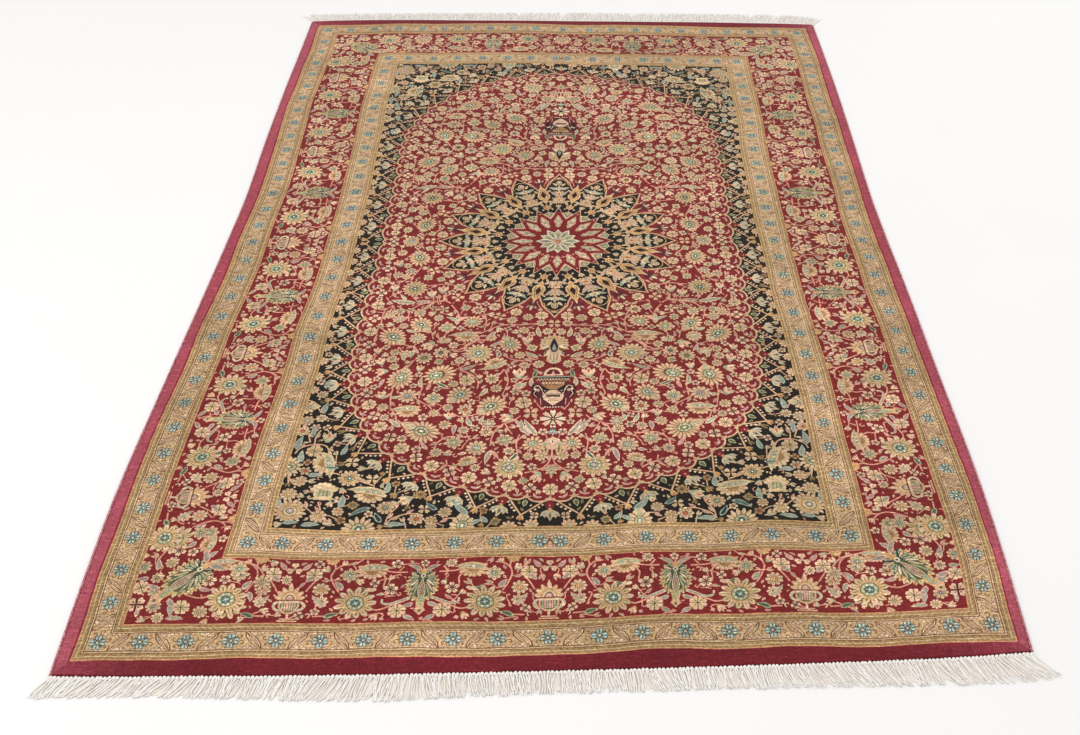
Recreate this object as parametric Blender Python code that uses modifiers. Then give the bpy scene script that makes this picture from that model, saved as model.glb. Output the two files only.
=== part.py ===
"""Hand-knotted rug with a central medallion, laid flat: one knotted pile body, two overcast side cords
and a warp fringe along each end. Metres, +Z up. X runs across the rug, Y along it, and the floor is z = 0."""

import math

import bmesh
import bpy

# ---- driving sizes -------------------------------------------------------------------------------------------
PILE_HEIGHT = 0.0055  # foundation and pile together, where the rug lies flattest
SELVEDGE_DIAMETER = 0.0050  # overcast cord along each side
PIECE_GAP = 0.0003  # between pieces that meet
PILE_ROUNDING = 0.0012  # how the pile rolls over at its outer edge
BODY_CELLS = (24, 36)  # grid of the upper surface, across and along
FRINGE_THICKNESS = 0.0030
FRINGE_HEADING = 0.0060  # knotted row where the warps leave the rug
FRINGE_TEETH = 90  # bundles of warps along one end
TOOTH_ROOT_GAP = 0.0016
TOOTH_TIP_SHARE = 0.58  # a bundle's width at its tip, as a share of its width at the root
CORD_POINTS = 60

# The rug's outline in millimetres. A hand-made rug isn't quite a rectangle: it is a little wider towards the near
# end and drawn in just past the middle.
SIDE_COLUMNS = ("along", "left", "right")
SIDE_ROWS = (
    (-1087, -707.5, 698.0),
    (-889, -715.0, 706.0),
    (-709, -718.0, 709.0),
    (-459, -712.0, 704.0),
    (-209, -705.0, 700.0),
    (11, -700.0, 694.0),
    (171, -698.0, 692.0),
    (411, -704.0, 695.5),
    (671, -707.0, 698.0),
    (891, -707.0, 697.0),
    (1071, -707.5, 695.0),
)
END_COLUMNS = ("across", "near", "far")
END_ROWS = (
    (-706, -1082.5, 1068.0),
    (-620, -1085.5, 1073.5),
    (-520, -1087.0, 1077.0),
    (-400, -1089.5, 1078.5),
    (-235, -1091.0, 1078.0),
    (0, -1091.0, 1076.0),
    (230, -1089.5, 1072.0),
    (460, -1086.0, 1068.5),
    (600, -1082.0, 1064.0),
    (697, -1076.0, 1058.0),
)
# Fringe: where the bundles end, and how far they lean sideways from straight out, in degrees (plus is to +X).
FRINGE_COLUMNS = ("across", "reach", "lean")
NEAR_FRINGE_ROWS = (
    (-703, -1119.0, -33),
    (-640, -1119.5, -36),
    (-520, -1122.5, -26),
    (-400, -1129.5, -16),
    (-320, -1133.0, -26),
    (-235, -1135.5, -8),
    (-130, -1132.0, 6),
    (0, -1129.5, 9),
    (160, -1129.0, 12),
    (350, -1129.0, 22),
    (550, -1129.5, 24),
    (640, -1127.0, 31),
    (693, -1117.0, 44),
)
FAR_FRINGE_ROWS = (
    (-703, 1113.0, -34),
    (-660, 1126.0, -22),
    (-560, 1133.0, -10),
    (-297, 1138.5, -6),
    (-16, 1143.5, 3),
    (383, 1140.5, 5),
    (560, 1134.0, 12),
    (650, 1125.0, 26),
    (692, 1108.0, 36),
)
# The pile's gentle unevenness: height, wavelength across and along, phase.
WAVE_COLUMNS = ("height_mm", "across_mm", "along_mm", "phase")
WAVE_ROWS = (
    (0.55, 820.0, 1350.0, 0.4),
    (0.40, 410.0, -610.0, 1.9),
    (0.30, -260.0, 345.0, 4.1),
)

COLOURS = {
    "pile_red": (0.216, 0.024, 0.035, 1.0),
    "overcast_red": (0.42, 0.10, 0.13, 1.0),
    "warp_cream": (0.72, 0.66, 0.58, 1.0),
}


def column(rows, columns, name):
    at = columns.index(name)
    return [row[0] / 1000 for row in rows], [row[at] for row in rows]


def smooth_reading(rows, columns, name, where):
    """A table's value at a place, on a smooth curve through its rows (Catmull-Rom), straight past its ends."""
    xs, ys = column(rows, columns, name)
    where = min(max(where, xs[0]), xs[-1])
    i = max(k for k in range(len(xs) - 1) if xs[k] <= where)
    span = xs[i + 1] - xs[i]
    t = (where - xs[i]) / span

    def slope(k):
        a, b = max(k - 1, 0), min(k + 1, len(xs) - 1)
        return (ys[b] - ys[a]) / (xs[b] - xs[a]) * span

    return (
        (2 * t**3 - 3 * t**2 + 1) * ys[i]
        + (t**3 - 2 * t**2 + t) * slope(i)
        + (3 * t**2 - 2 * t**3) * ys[i + 1]
        + (t**3 - t**2) * slope(i + 1)
    )


def side(name, along):
    return smooth_reading(SIDE_ROWS, SIDE_COLUMNS, name, along) / 1000


def end(name, across):
    return smooth_reading(END_ROWS, END_COLUMNS, name, across) / 1000


def body_place(u, v):
    """The plan place of (u, v), each from 0 to 1, inside the side cords and between the two ends."""
    inset = SELVEDGE_DIAMETER + PIECE_GAP
    x, y = 0.0, 0.0
    for _ in range(4):
        y = end("near", x) * (1 - v) + end("far", x) * v
        x = (side("left", y) + inset) * (1 - u) + (side("right", y) - inset) * u
    return x, y


def pile_top(x, y):
    height = PILE_HEIGHT
    for tall, across, along, phase in WAVE_ROWS:
        turn = 2 * math.pi * (x * 1000 / across + y * 1000 / along) + phase
        height += tall / 1000 * (1 + math.sin(turn)) / 2
    return height


def material(name, roughness):
    made = bpy.data.materials.new(name)
    made.use_nodes = True
    shader = made.node_tree.nodes["Principled BSDF"]
    shader.inputs["Base Color"].default_value = COLOURS[name]
    shader.inputs["Roughness"].default_value = roughness
    shader.inputs["Metallic"].default_value = 0.0
    made.diffuse_color = COLOURS[name]
    return made


def put(name, data, collection, parent, finish):
    made = bpy.data.objects.new(name, data)
    collection.objects.link(made)
    made.parent = parent
    made.data.materials.append(finish)
    return made


def knotted_body(collection, parent, finish):
    """The pile surface as a grid laid on the outline, drawn down to a flat underside."""
    across, along = BODY_CELLS
    bm = bmesh.new()
    bmesh.ops.create_grid(bm, x_segments=across, y_segments=along, size=0.5)
    for vert in bm.verts:
        x, y = body_place(vert.co.x + 0.5, vert.co.y + 0.5)
        vert.co = (x, y, pile_top(x, y))
    weight = bm.edges.layers.float.new("bevel_weight_edge")
    for edge in bm.edges:
        edge[weight] = 1.0 if edge.is_boundary else 0.0
    upper = list(bm.faces)
    drawn = bmesh.ops.extrude_face_region(bm, geom=upper, use_keep_orig=True)
    lower = [item for item in drawn["geom"] if isinstance(item, bmesh.types.BMFace)]
    for vert in {v for face in lower for v in face.verts}:
        vert.co.z = 0.0
    for edge in {e for face in lower for e in face.edges}:
        edge[weight] = 0.0
    bmesh.ops.dissolve_faces(bm, faces=lower)
    bmesh.ops.recalc_face_normals(bm, faces=bm.faces)
    mesh = bpy.data.meshes.new("pile_body")
    bm.to_mesh(mesh)
    bm.free()
    body = put("pile_body", mesh, collection, parent, finish)
    roll = body.modifiers.new("pile_rounding", "BEVEL")
    roll.limit_method = "WEIGHT"
    roll.width = PILE_ROUNDING
    roll.segments = 2
    return body


def side_cord(name, which, collection, parent, finish):
    """An overcast cord that follows one long edge."""
    outward = -1 if which == "left" else 1
    line = bpy.data.curves.new(name, "CURVE")
    line.dimensions = "3D"
    line.bevel_depth = SELVEDGE_DIAMETER / 2
    line.bevel_resolution = 2
    line.use_fill_caps = True
    spline = line.splines.new("POLY")
    spline.points.add(CORD_POINTS - 1)
    near = end("near", side(which, -1.08)) + PIECE_GAP
    far = end("far", side(which, 1.07)) - PIECE_GAP
    for i, point in enumerate(spline.points):
        y = near + (far - near) * i / (CORD_POINTS - 1)
        x = side(which, y) - outward * SELVEDGE_DIAMETER / 2
        point.co = (x, y, SELVEDGE_DIAMETER / 2, 1.0)
    return put(name, line, collection, parent, finish)


def fringe_outline(which, rows):
    """The plan outline of one fringe: its heading along the rug's end, then every bundle out to its tip."""
    outward = -1 if which == "near" else 1
    left, right = side("left", outward * 1.05), side("right", outward * 1.05)
    pitch = (right - left) / FRINGE_TEETH
    points = []
    steps = 48
    for i in range(steps + 1):
        x = left + (right - left) * i / steps
        points.append((x, end(which, x) + outward * PIECE_GAP))
    for i in reversed(range(FRINGE_TEETH)):
        middle = left + pitch * (i + 0.5)
        root = end(which, middle) + outward * (PIECE_GAP + FRINGE_HEADING)
        reach = smooth_reading(rows, FRINGE_COLUMNS, "reach", middle) / 1000
        lean = math.radians(smooth_reading(rows, FRINGE_COLUMNS, "lean", middle))
        drop = reach - root
        tip_x = middle + abs(drop) * math.tan(lean)
        half_root = (pitch - TOOTH_ROOT_GAP) / 2
        half_tip = half_root * TOOTH_TIP_SHARE
        points += [
            (middle + half_root, root),
            (tip_x + half_tip, reach - 0.12 * drop),
            (tip_x + half_tip * 0.35, reach),
            (tip_x - half_tip * 0.35, reach),
            (tip_x - half_tip, reach - 0.12 * drop),
            (middle - half_root, root),
        ]
    return points


def fringe(name, which, rows, collection, parent, finish):
    flat = bpy.data.curves.new(name, "CURVE")
    flat.dimensions = "2D"
    flat.fill_mode = "BOTH"
    flat.extrude = FRINGE_THICKNESS / 2
    spline = flat.splines.new("POLY")
    outline = fringe_outline(which, rows)
    spline.points.add(len(outline) - 1)
    for point, (x, y) in zip(spline.points, outline):
        point.co = (x, y, 0.0, 1.0)
    spline.use_cyclic_u = True
    made = put(name, flat, collection, parent, finish)
    made.location.z = FRINGE_THICKNESS / 2
    return made


def main():
    for old in list(bpy.data.objects):
        bpy.data.objects.remove(old)
    collection = bpy.data.collections.new("knotted_rug")
    bpy.context.scene.collection.children.link(collection)
    centre = bpy.data.objects.new("rug_centre", None)
    collection.objects.link(centre)
    pile = material("pile_red", 0.9)
    overcast = material("overcast_red", 0.85)
    warp = material("warp_cream", 0.85)
    knotted_body(collection, centre, pile)
    side_cord("selvedge_left", "left", collection, centre, overcast)
    side_cord("selvedge_right", "right", collection, centre, overcast)
    fringe("fringe_near", "near", NEAR_FRINGE_ROWS, collection, centre, warp)
    fringe("fringe_far", "far", FAR_FRINGE_ROWS, collection, centre, warp)


main()
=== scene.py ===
"""A hand-knotted rug with a central medallion, laid flat and seen from its near end: a drawing kit, the drawing of one
quarter, and the pieces made from it. Metres, +Z up, X across the rug, Y along it."""

import math

import bpy
import numpy as np
from mathutils import Matrix, Vector
from mathutils.geometry import delaunay_2d_cdt


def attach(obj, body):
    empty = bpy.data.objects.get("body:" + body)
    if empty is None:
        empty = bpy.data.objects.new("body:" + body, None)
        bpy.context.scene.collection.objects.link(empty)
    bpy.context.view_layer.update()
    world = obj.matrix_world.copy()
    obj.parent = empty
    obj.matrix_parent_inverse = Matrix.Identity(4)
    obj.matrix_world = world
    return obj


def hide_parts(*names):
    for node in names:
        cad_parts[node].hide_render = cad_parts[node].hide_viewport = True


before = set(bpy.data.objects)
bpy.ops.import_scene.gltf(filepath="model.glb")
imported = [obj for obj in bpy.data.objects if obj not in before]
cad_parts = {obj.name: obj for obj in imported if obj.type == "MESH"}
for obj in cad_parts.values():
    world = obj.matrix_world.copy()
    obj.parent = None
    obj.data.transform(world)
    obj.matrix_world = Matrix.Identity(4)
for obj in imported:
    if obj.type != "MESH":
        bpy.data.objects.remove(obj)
TAU = 2 * math.pi
# ==== drawing kit ============================================================================================
# The weave is drawn as filled outlines, one over another, for one quarter of the rug: x and y run from the middle
# of the rug to its side and its end, in metres. The other three quarters are its mirror images.

DYES = {  # red, green, blue of the finished wool, 0 to 255
    "field_red": (118, 34, 34),
    "border_red": (124, 36, 36),
    "band_red": (114, 30, 40),
    "band_rose": (160, 58, 78),
    "line_rose": (208, 152, 112),
    "navy": (29, 24, 20),
    "ink": (30, 25, 22),
    "peach": (217, 184, 153),
    "apricot": (206, 166, 130),
    "cream": (215, 198, 168),
    "white": (232, 222, 202),
    "salmon": (212, 152, 128),
    "pink": (206, 160, 144),
    "gold": (196, 156, 106),
    "oldgold": (150, 116, 76),
    "guard": (195, 166, 125),
    "olive": (142, 124, 82),
    "moss": (100, 96, 62),
    "sage": (158, 162, 130),
    "green": (82, 96, 70),
    "teal": (76, 108, 104),
    "deep_teal": (44, 60, 58),
    "sky": (150, 167, 154),
    "slate": (144, 146, 128),
    "mauve": (178, 148, 138),
    "brown": (96, 58, 38),
    "umber": (112, 76, 50),
    "rust": (184, 98, 62),
    "plum": (88, 32, 44),
    "straw": (166, 136, 92),
    "wheat": (204, 178, 138),
    "buff": (199, 175, 141),
    "band_in": (136, 44, 56),
    "guard_blue": (166, 186, 180),
    "guard_dark": (72, 90, 88),
}


for i in range(9):  # painted sheen: the outer band is painted rosier and lighter along the sides than at the ends, as light catches the pile there, which lies the other way
    DYES["band_%d" % i] = tuple(a + (b - a) * i / 8 for a, b in zip((164, 72, 86), (172, 82, 98)))
for i in range(6):
    DYES["end_%d" % i] = tuple(a + (b - a) * (0.62, 0.46, 0.32, 0.20, 0.10, 0.04)[i] for a, b in zip(DYES["band_red"], (172, 82, 98)))


def buffed(shapes):
    """The same shapes with yellower wools, as they are on the dark grounds."""
    return [(points, {"peach": "buff", "apricot": "wheat", "pink": "wheat", "cream": "buff"}.get(dye, dye), tone) for points, dye, tone in shapes]


def dimmed(shapes):
    """The same shapes in the middle tones that fill in between the brighter flowers."""
    dim = {"peach": "straw", "apricot": "olive", "buff": "straw", "wheat": "olive", "cream": "straw", "sage": "moss", "mauve": "umber", "slate": "moss", "white": "straw"}
    return [(points, dim.get(dye, dye), tone) for points, dye, tone in shapes]


QUARTER = ((1.0, 0.0, 0.0), (0.0, 1.0, 0.0))  # keep a*x + b*y >= c


def turned(points, angle, x=0.0, y=0.0, size=1.0):
    """Points turned by angle, scaled and moved to (x, y)."""
    points = np.asarray(points, float) * size
    c, s = math.cos(angle), math.sin(angle)
    return points @ np.array([[c, s], [-s, c]]) + (x, y)


class Art:
    """Filled outlines in painter's order, each with its dye and a slight tone of its own, as dye lots differ."""

    def __init__(self):
        self.shapes = []
        self.tone = 0.0
        self.count = 0
        self.turn = np.eye(2)
        self.shift = np.zeros(2)
        self.window = QUARTER

    def lot(self):
        """The tone of the next motif: a fixed sequence that never settles."""
        self.count += 1
        self.tone = math.sin(self.count * 2.399963) * 0.5 + math.sin(self.count * 5.1) * 0.5

    def put(self, points, dye):
        points = np.asarray(points, float) @ self.turn.T + self.shift
        if not np.isfinite(points).all():
            raise ValueError("a shape has no place: " + dye)
        for a, b, c in self.window:
            side = points @ (a, b) - c
            if (side >= 0).all():
                continue
            if (side <= 0).all():
                return
            kept = []
            for i in range(len(points)):
                j = (i + 1) % len(points)
                if side[i] >= 0:
                    kept.append(points[i])
                if (side[i] > 0 > side[j]) or (side[i] < 0 < side[j]):
                    kept.append(points[i] + (points[j] - points[i]) * (side[i] / (side[i] - side[j])))
            if len(kept) < 3:
                return
            points = np.array(kept)
        points = points[np.abs(points - np.roll(points, 1, axis=0)).max(1) > 3e-5]
        if len(points) < 3:
            return
        after = np.roll(points, -1, axis=0)
        area = (points[:, 0] * after[:, 1] - after[:, 0] * points[:, 1]).sum() / 2
        if abs(area) < 1.5e-7:
            return
        self.shapes.append((points if area > 0 else points[::-1], dye, self.tone))

    def placed(self, x, y, along, mirror=False):
        """Sets where the next shapes go: their own +X lies along this angle, and mirror turns them over."""
        c, s = math.cos(along), math.sin(along)
        m = -1.0 if mirror else 1.0
        self.turn = np.array([[c, -s * m], [s, c * m]])
        self.shift = np.array([x, y], float)

    def home(self):
        self.turn = np.eye(2)
        self.shift = np.zeros(2)

    def rect(self, x0, y0, x1, y1, dye):
        self.put([(x0, y0), (x1, y0), (x1, y1), (x0, y1)], dye)

    def corner_band(self, x_in, y_in, x_out, y_out, dye):
        """The L of a frame that lies in this quarter."""
        self.put([(x_in, -0.02), (x_out, -0.02), (x_out, y_out), (x_in, y_in)], dye)
        self.put([(-0.02, y_in), (x_in, y_in), (x_out, y_out), (-0.02, y_out)], dye)

    def disc(self, x, y, r, dye, n=8, squash=1.0, angle=0.0):
        a = np.arange(n) * TAU / n + 0.3
        self.put(turned(np.stack([r * np.cos(a), r * squash * np.sin(a)], 1), angle, x, y), dye)

    def ribbon(self, points, width, dye, taper=None):
        """A line of this width, in four-cornered pieces so that a tight bend stays whole. taper is its width at the end."""
        p = np.asarray(points, float)
        d = np.gradient(p, axis=0)
        d /= np.maximum(np.linalg.norm(d, axis=1, keepdims=True), 1e-12)
        n = np.stack([-d[:, 1], d[:, 0]], 1)
        half = np.linspace(width, width if taper is None else taper, len(p))[:, None] / 2
        left, right = p + n * half, p - n * half
        for i in range(len(p) - 1):
            self.put([right[i], right[i + 1], left[i + 1], left[i]], dye)


def curve(points, step=0.006, closed=False):
    """Points on a smooth curve through the ones given (Catmull-Rom)."""
    p = np.asarray(points, float)
    if closed:
        p = np.vstack([p[-1:], p, p[:2]])
    else:
        p = np.vstack([2 * p[0] - p[1], p, 2 * p[-1] - p[-2]])
    out = []
    for i in range(1, len(p) - 2):
        a, b, c, d = p[i - 1 : i + 3]
        n = max(2, int(math.ceil(np.linalg.norm(c - b) / step)))
        t = np.arange(n)[:, None] / n
        out.append(0.5 * ((2 * b) + (c - a) * t + (2 * a - 5 * b + 4 * c - d) * t**2 + (3 * b - a - 3 * c + d) * t**3))
    if not closed:
        out.append(p[-2:-1])
    return np.vstack(out)


def arc_lengths(p):
    return np.concatenate([[0], np.cumsum(np.linalg.norm(np.diff(p, axis=0), axis=1))])


# ---- flowers and leaves: each is drawn at (x, y), turned so that its own +Y points along angle ---------------------


def ring_of(n, r, phase=0.0):
    a = (np.arange(n) + phase) * TAU / n
    return np.stack([r * np.cos(a), r * np.sin(a)], 1)


def scalloped(n, r, depth, rounds=3, phase=0.0):
    """A disc with n round lobes."""
    k = np.arange(n * rounds)
    a = (k / rounds + phase) * TAU / n
    rr = r * (1 - depth * np.abs(np.sin(np.pi * k / rounds)) ** 0.7 * 0) * (1 - depth + depth * np.abs(np.cos(np.pi * k / rounds)) ** 0.8)
    return np.stack([rr * np.cos(a), rr * np.sin(a)], 1)


def petal(r0, r1, half, tip=0.5, base=0.35):
    """One petal along +X from r0 to r1; half is its half width, tip how blunt its end is."""
    m = r0 + (r1 - r0) * 0.62
    e = r0 + (r1 - r0) * 0.93
    return np.array([(r0, -half * base), (m, -half), (e, -half * tip), (r1, 0), (e, half * tip), (m, half), (r0, half * base)])


def slim_petal(r0, r1, half):
    m = r0 + (r1 - r0) * 0.6
    return np.array([(r0, 0), (m, -half), (r1, 0), (m, half)])


def petals(art, x, y, n, r0, r1, half, dye, angle=0.0, tip=0.5, slim=False, spread=TAU):
    full = spread > TAU - 0.01
    for k in range(n):
        a = angle + (k * spread / n if full else (k / (n - 1) - 0.5) * spread)
        shape = slim_petal(r0, r1, half) if slim else petal(r0, r1, half, tip)
        art.put(turned(shape, a, x, y), dye)


def big_rosette(art, x, y, r, n=14, angle=0.0, heart="teal", inner="sage", ground="umber"):
    """Long petals with brown between them, round a green ring and a dark-edged heart."""
    art.lot()
    r *= 1.05
    w = 0.80 * r * math.pi / n
    art.disc(x, y, 0.88 * r, ground, n=n, angle=angle)
    for i in range(n):  # a pale petal and a deeper one by turns, each with a streak
        a = angle + i * TAU / n
        art.put(turned(petal(0.40 * r, r * (0.95 if i % 2 else 1.03), w * 0.80, 0.50), a, x, y), "wheat" if i % 2 else "peach")
        art.put(turned(slim_petal(0.44 * r, 0.86 * r, w * 0.24), a, x, y), "olive" if i % 2 else "straw")
    petals(art, x, y, n, 0.38 * r, 0.67 * r, w * 0.46, "gold", angle + math.pi / n, 0.55)
    art.disc(x, y, 0.47 * r, "moss", n=12)
    art.disc(x, y, 0.42 * r, inner, n=12)
    petals(art, x, y, 8, 0.18 * r, 0.42 * r, 0.062 * r, "cream", angle + 0.2, slim=True)
    art.disc(x, y, 0.26 * r, "green", n=9)
    art.disc(x, y, 0.20 * r, heart, n=8)
    petals(art, x, y, 4, 0.04 * r, 0.18 * r, 0.05 * r, "sky", angle, slim=True)
    art.disc(x, y, 0.07 * r, "white", n=5)


def rosette(art, x, y, r, n=10, angle=0.0, heart="teal", ring="sage", leaf="apricot", ground="umber"):
    art.lot()
    r *= 1.06
    w = 0.80 * r * math.pi / n
    art.disc(x, y, 0.99 * r, ground, n=n, angle=angle)
    petals(art, x, y, n, 0.30 * r, r, w * 0.76, "peach" if leaf == "apricot" else leaf, angle, 0.6)
    petals(art, x, y, n, 0.42 * r, 0.82 * r, w * 0.24, "straw", angle, slim=True)
    art.disc(x, y, 0.44 * r, "moss", n=9)
    art.disc(x, y, 0.37 * r, ring, n=9)
    art.disc(x, y, 0.22 * r, heart, n=7)
    art.disc(x, y, 0.09 * r, "white", n=5)


def pointed_rosette(art, x, y, r, n=8, angle=0.0, heart="teal"):
    """Eight petals, every other one longer and pointed, round a green ring."""
    art.lot()
    r *= 1.08
    art.disc(x, y, 0.84 * r, "umber", n=10)
    for k in range(n):
        a = angle + k * TAU / n
        long = k % 2 == 0
        art.put(turned(petal(0.25 * r, r if long else 0.82 * r, 0.225 * r, 0.42 if long else 0.7), a, x, y), "peach" if long else "wheat")
        art.put(turned(slim_petal(0.40 * r, 0.80 * r if long else 0.68 * r, 0.07 * r), a, x, y), "olive")
    art.disc(x, y, 0.41 * r, "moss", n=9)
    art.disc(x, y, 0.35 * r, "sage", n=9)
    art.disc(x, y, 0.23 * r, heart, n=8)
    art.disc(x, y, 0.12 * r, "cream", n=6)


def lattice_rosette(art, x, y, r, angle=0.0, n=8, line="moss"):
    """A round flower crossed by fine green lines."""
    art.lot()
    r *= 1.06
    art.disc(x, y, 0.99 * r, "umber", n=n)
    petals(art, x, y, n, 0.2 * r, r, 0.29 * r, "peach", angle + math.pi / n, 0.72)
    art.disc(x, y, 0.66 * r, "gold", n=12)
    petals(art, x, y, n, 0.1 * r, 0.74 * r, 0.115 * r, "peach", angle + math.pi / n, slim=True)
    for k in range(2):
        art.put(turned([(-0.78 * r, -0.055 * r), (0.78 * r, -0.055 * r), (0.78 * r, 0.055 * r), (-0.78 * r, 0.055 * r)], angle + k * math.pi / 2, x, y), line)
    petals(art, x, y, 4, 0.12 * r, 0.56 * r, 0.06 * r, line, angle + math.pi / 4, slim=True)
    art.disc(x, y, 0.16 * r, "green", n=6)


def star_flower(art, x, y, r, n=8, angle=0.0, leaf="peach", heart="rust", dark="umber"):
    art.lot()
    r *= 1.06
    art.disc(x, y, 0.90 * r, "brown", n=n)
    petals(art, x, y, n, 0.12 * r, r, 0.25 * r, leaf, angle, 0.62)
    petals(art, x, y, n, 0.25 * r, 0.76 * r, 0.08 * r, dark, angle, slim=True)
    art.disc(x, y, 0.36 * r, dark, n=8)
    art.disc(x, y, 0.22 * r, heart, n=6)


def blossom(art, x, y, r, n=4, angle=0.0, leaf="peach", dark="brown"):
    """Heart-shaped petals that meet at a dark middle."""
    art.lot()
    h = 0.44 * r if n == 4 else 0.36 * r
    art.disc(x, y, 0.84 * r, "plum" if leaf == "peach" else dark, n=n * 2)
    for k in range(n):
        a = angle + k * TAU / n
        heart = [(0.16 * r, 0), (0.62 * r, -h), (0.98 * r, -0.62 * h), (0.88 * r, 0), (0.98 * r, 0.62 * h), (0.62 * r, h)]
        art.put(turned(heart, a, x, y), leaf)
        art.put(turned(slim_petal(0.20 * r, 0.62 * r, 0.09 * r), a, x, y), dark)
    art.disc(x, y, 0.20 * r, dark, n=6)


def leaf_line(length, bend, n=7):
    """The middle line of a leaf along +Y that bends to +X by bend, as a share of its length."""
    t = np.linspace(0, 1, n)
    return np.stack([bend * length * t**2, length * t], 1)


def leaf(art, x, y, length, width, angle, bend=0.25, edge="cream", fill="slate", vein=None, n=7):
    """A pointed leaf from its foot at (x, y), with a pale edge and a darker blade."""
    art.lot()
    turn = angle - math.pi / 2
    line = leaf_line(length, bend, n)
    d = np.gradient(line, axis=0)
    d /= np.linalg.norm(d, axis=1, keepdims=True)
    nrm = np.stack([-d[:, 1], d[:, 0]], 1)
    t = np.linspace(0, 1, n)
    half = width / 2 * (np.sin(np.pi * t**0.75) ** 0.9 + 0.03)[:, None]
    outer = np.vstack([(line + nrm * half), (line - nrm * half)[::-1]])
    art.put(turned(outer, turn, x, y), edge)
    if fill:
        keep = slice(1, -1)
        inner = np.vstack([(line + nrm * half * 0.58)[keep], (line - nrm * half * 0.58)[keep][::-1]])
        art.put(turned(inner, turn, x, y), fill)
    if vein:
        art.ribbon(turned(line[1:-1], turn, x, y), width * 0.09, vein)


def saw_leaf(art, x, y, length, width, angle, bend=0.2, edge="cream", fill="slate", teeth=4):
    """A curved leaf with a saw edge on its outer side."""
    art.lot()
    turn = angle - math.pi / 2
    n = teeth * 2 + 2
    line = leaf_line(length, bend, n)
    d = np.gradient(line, axis=0)
    d /= np.linalg.norm(d, axis=1, keepdims=True)
    nrm = np.stack([-d[:, 1], d[:, 0]], 1)
    t = np.linspace(0, 1, n)
    base = width / 2 * (np.sin(np.pi * t**0.8) ** 0.8)
    saw = base * np.where(np.arange(n) % 2 == 0, 0.72, 1.25)
    outer = np.vstack([line + nrm * saw[:, None], (line - nrm * base[:, None] * 0.75)[::-1]])
    art.put(turned(outer, turn, x, y), edge)
    k = slice(1, -1)
    inner = np.vstack([(line + nrm * base[:, None] * 0.50)[k], (line - nrm * base[:, None] * 0.36)[k][::-1]])
    art.put(turned(inner, turn, x, y), fill)


def crescent(art, x, y, size, angle, edge="pink", fill="mauve"):
    """A small curved leaf that cups a flower; angle is the way its hollow faces."""
    art.lot()
    a = np.linspace(-1.25, 1.25, 7)
    outer = np.stack([np.cos(a), np.sin(a)], 1) * size * 0.5
    inner = np.stack([0.62 * np.cos(a) - 0.10, 0.86 * np.sin(a)], 1) * size * 0.5
    art.put(turned(np.vstack([outer, inner[::-1][1:-1]]), angle + math.pi, x, y), edge)
    outer = np.stack([0.90 * np.cos(a), 0.84 * np.sin(a)], 1)[1:-1] * size * 0.5
    inner = np.stack([0.70 * np.cos(a) - 0.07, 0.82 * np.sin(a)], 1)[1:-1] * size * 0.5
    art.put(turned(np.vstack([outer, inner[::-1]]), angle + math.pi, x, y), fill)


def curl(art, x, y, size, angle, hand=1, dye="salmon", width=0.0012):
    """A tendril that winds in on itself."""
    t = np.linspace(0, 1, 12)
    a = t * 4.4
    r = size * (1 - 0.78 * t)
    p = np.stack([r * np.sin(a), (r * (-np.cos(a)) + size) * hand], 1)
    art.ribbon(turned(p, angle, x, y), width, dye)


def bud(art, x, y, size, angle, leaf_dye="peach", cup="sage"):
    """A closed flower on a small cup, from its foot at (x, y)."""
    art.lot()
    turn = angle - math.pi / 2
    s = size
    art.put(turned([(-0.10 * s, 0), (0.10 * s, 0), (0.34 * s, 0.36 * s), (0.26 * s, 0.55 * s), (-0.26 * s, 0.55 * s), (-0.34 * s, 0.36 * s)], turn, x, y), cup)
    for k in (-1, 1):
        art.put(turned([(0.02 * k * s, 0.20 * s), (0.42 * k * s, 0.52 * s), (0.36 * k * s, 0.86 * s), (0.08 * k * s, 0.62 * s)], turn, x, y), leaf_dye)
    art.put(turned([(0, 0.24 * s), (0.20 * s, 0.62 * s), (0, s), (-0.20 * s, 0.62 * s)], turn, x, y), leaf_dye)
    art.put(turned([(0, 0.40 * s), (0.08 * s, 0.62 * s), (0, 0.82 * s), (-0.08 * s, 0.62 * s)], turn, x, y), "rust")


def fleur(art, x, y, size, angle, edge="peach", fill="sky", cup="rust", blush="pink"):
    """A lily seen from the side: two turned-out leaves and a pointed heart."""
    art.lot()
    turn = angle - math.pi / 2
    s = size
    for k in (-1, 1):
        shape = [(0, 0.05), (0.20, 0.16), (0.46, 0.30), (0.56, 0.62), (0.40, 0.56), (0.30, 0.74), (0.16, 0.50)]
        art.put(turned([(a * k * s, b * s) for a, b in shape], turn, x, y), edge)
        art.put(turned([(a * k * s, b * s) for a, b in [(0.18, 0.24), (0.38, 0.36), (0.46, 0.52), (0.28, 0.52)]], turn, x, y), blush)
    art.put(turned([(0, 0.08 * s), (0.22 * s, 0.52 * s), (0, s), (-0.22 * s, 0.52 * s)], turn, x, y), edge)
    art.put(turned([(0, 0.26 * s), (0.12 * s, 0.54 * s), (0, 0.86 * s), (-0.12 * s, 0.54 * s)], turn, x, y), fill)
    art.put(turned([(0, 0.36 * s), (0.05 * s, 0.52 * s), (0, 0.68 * s), (-0.05 * s, 0.52 * s)], turn, x, y), "deep_teal")
    art.disc(*turned([(0, 0.06 * s)], turn, x, y)[0], 0.10 * s, cup, n=6)


def teardrop(length, width, n=16, low=0.42):
    """A drop along +Y, round at the foot and pointed at the tip."""
    a = np.linspace(-math.pi / 2, 1.5 * math.pi, n, endpoint=False)
    x = np.cos(a) * width / 2
    y = np.sin(a)
    x *= np.where(y > 0, (1 - y) ** 0.55 * 1.0 + 0.0, 1.0)
    y = np.where(y > 0, y * (1 - low), y * low) * length + low * length
    return np.stack([x, y], 1)


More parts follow.
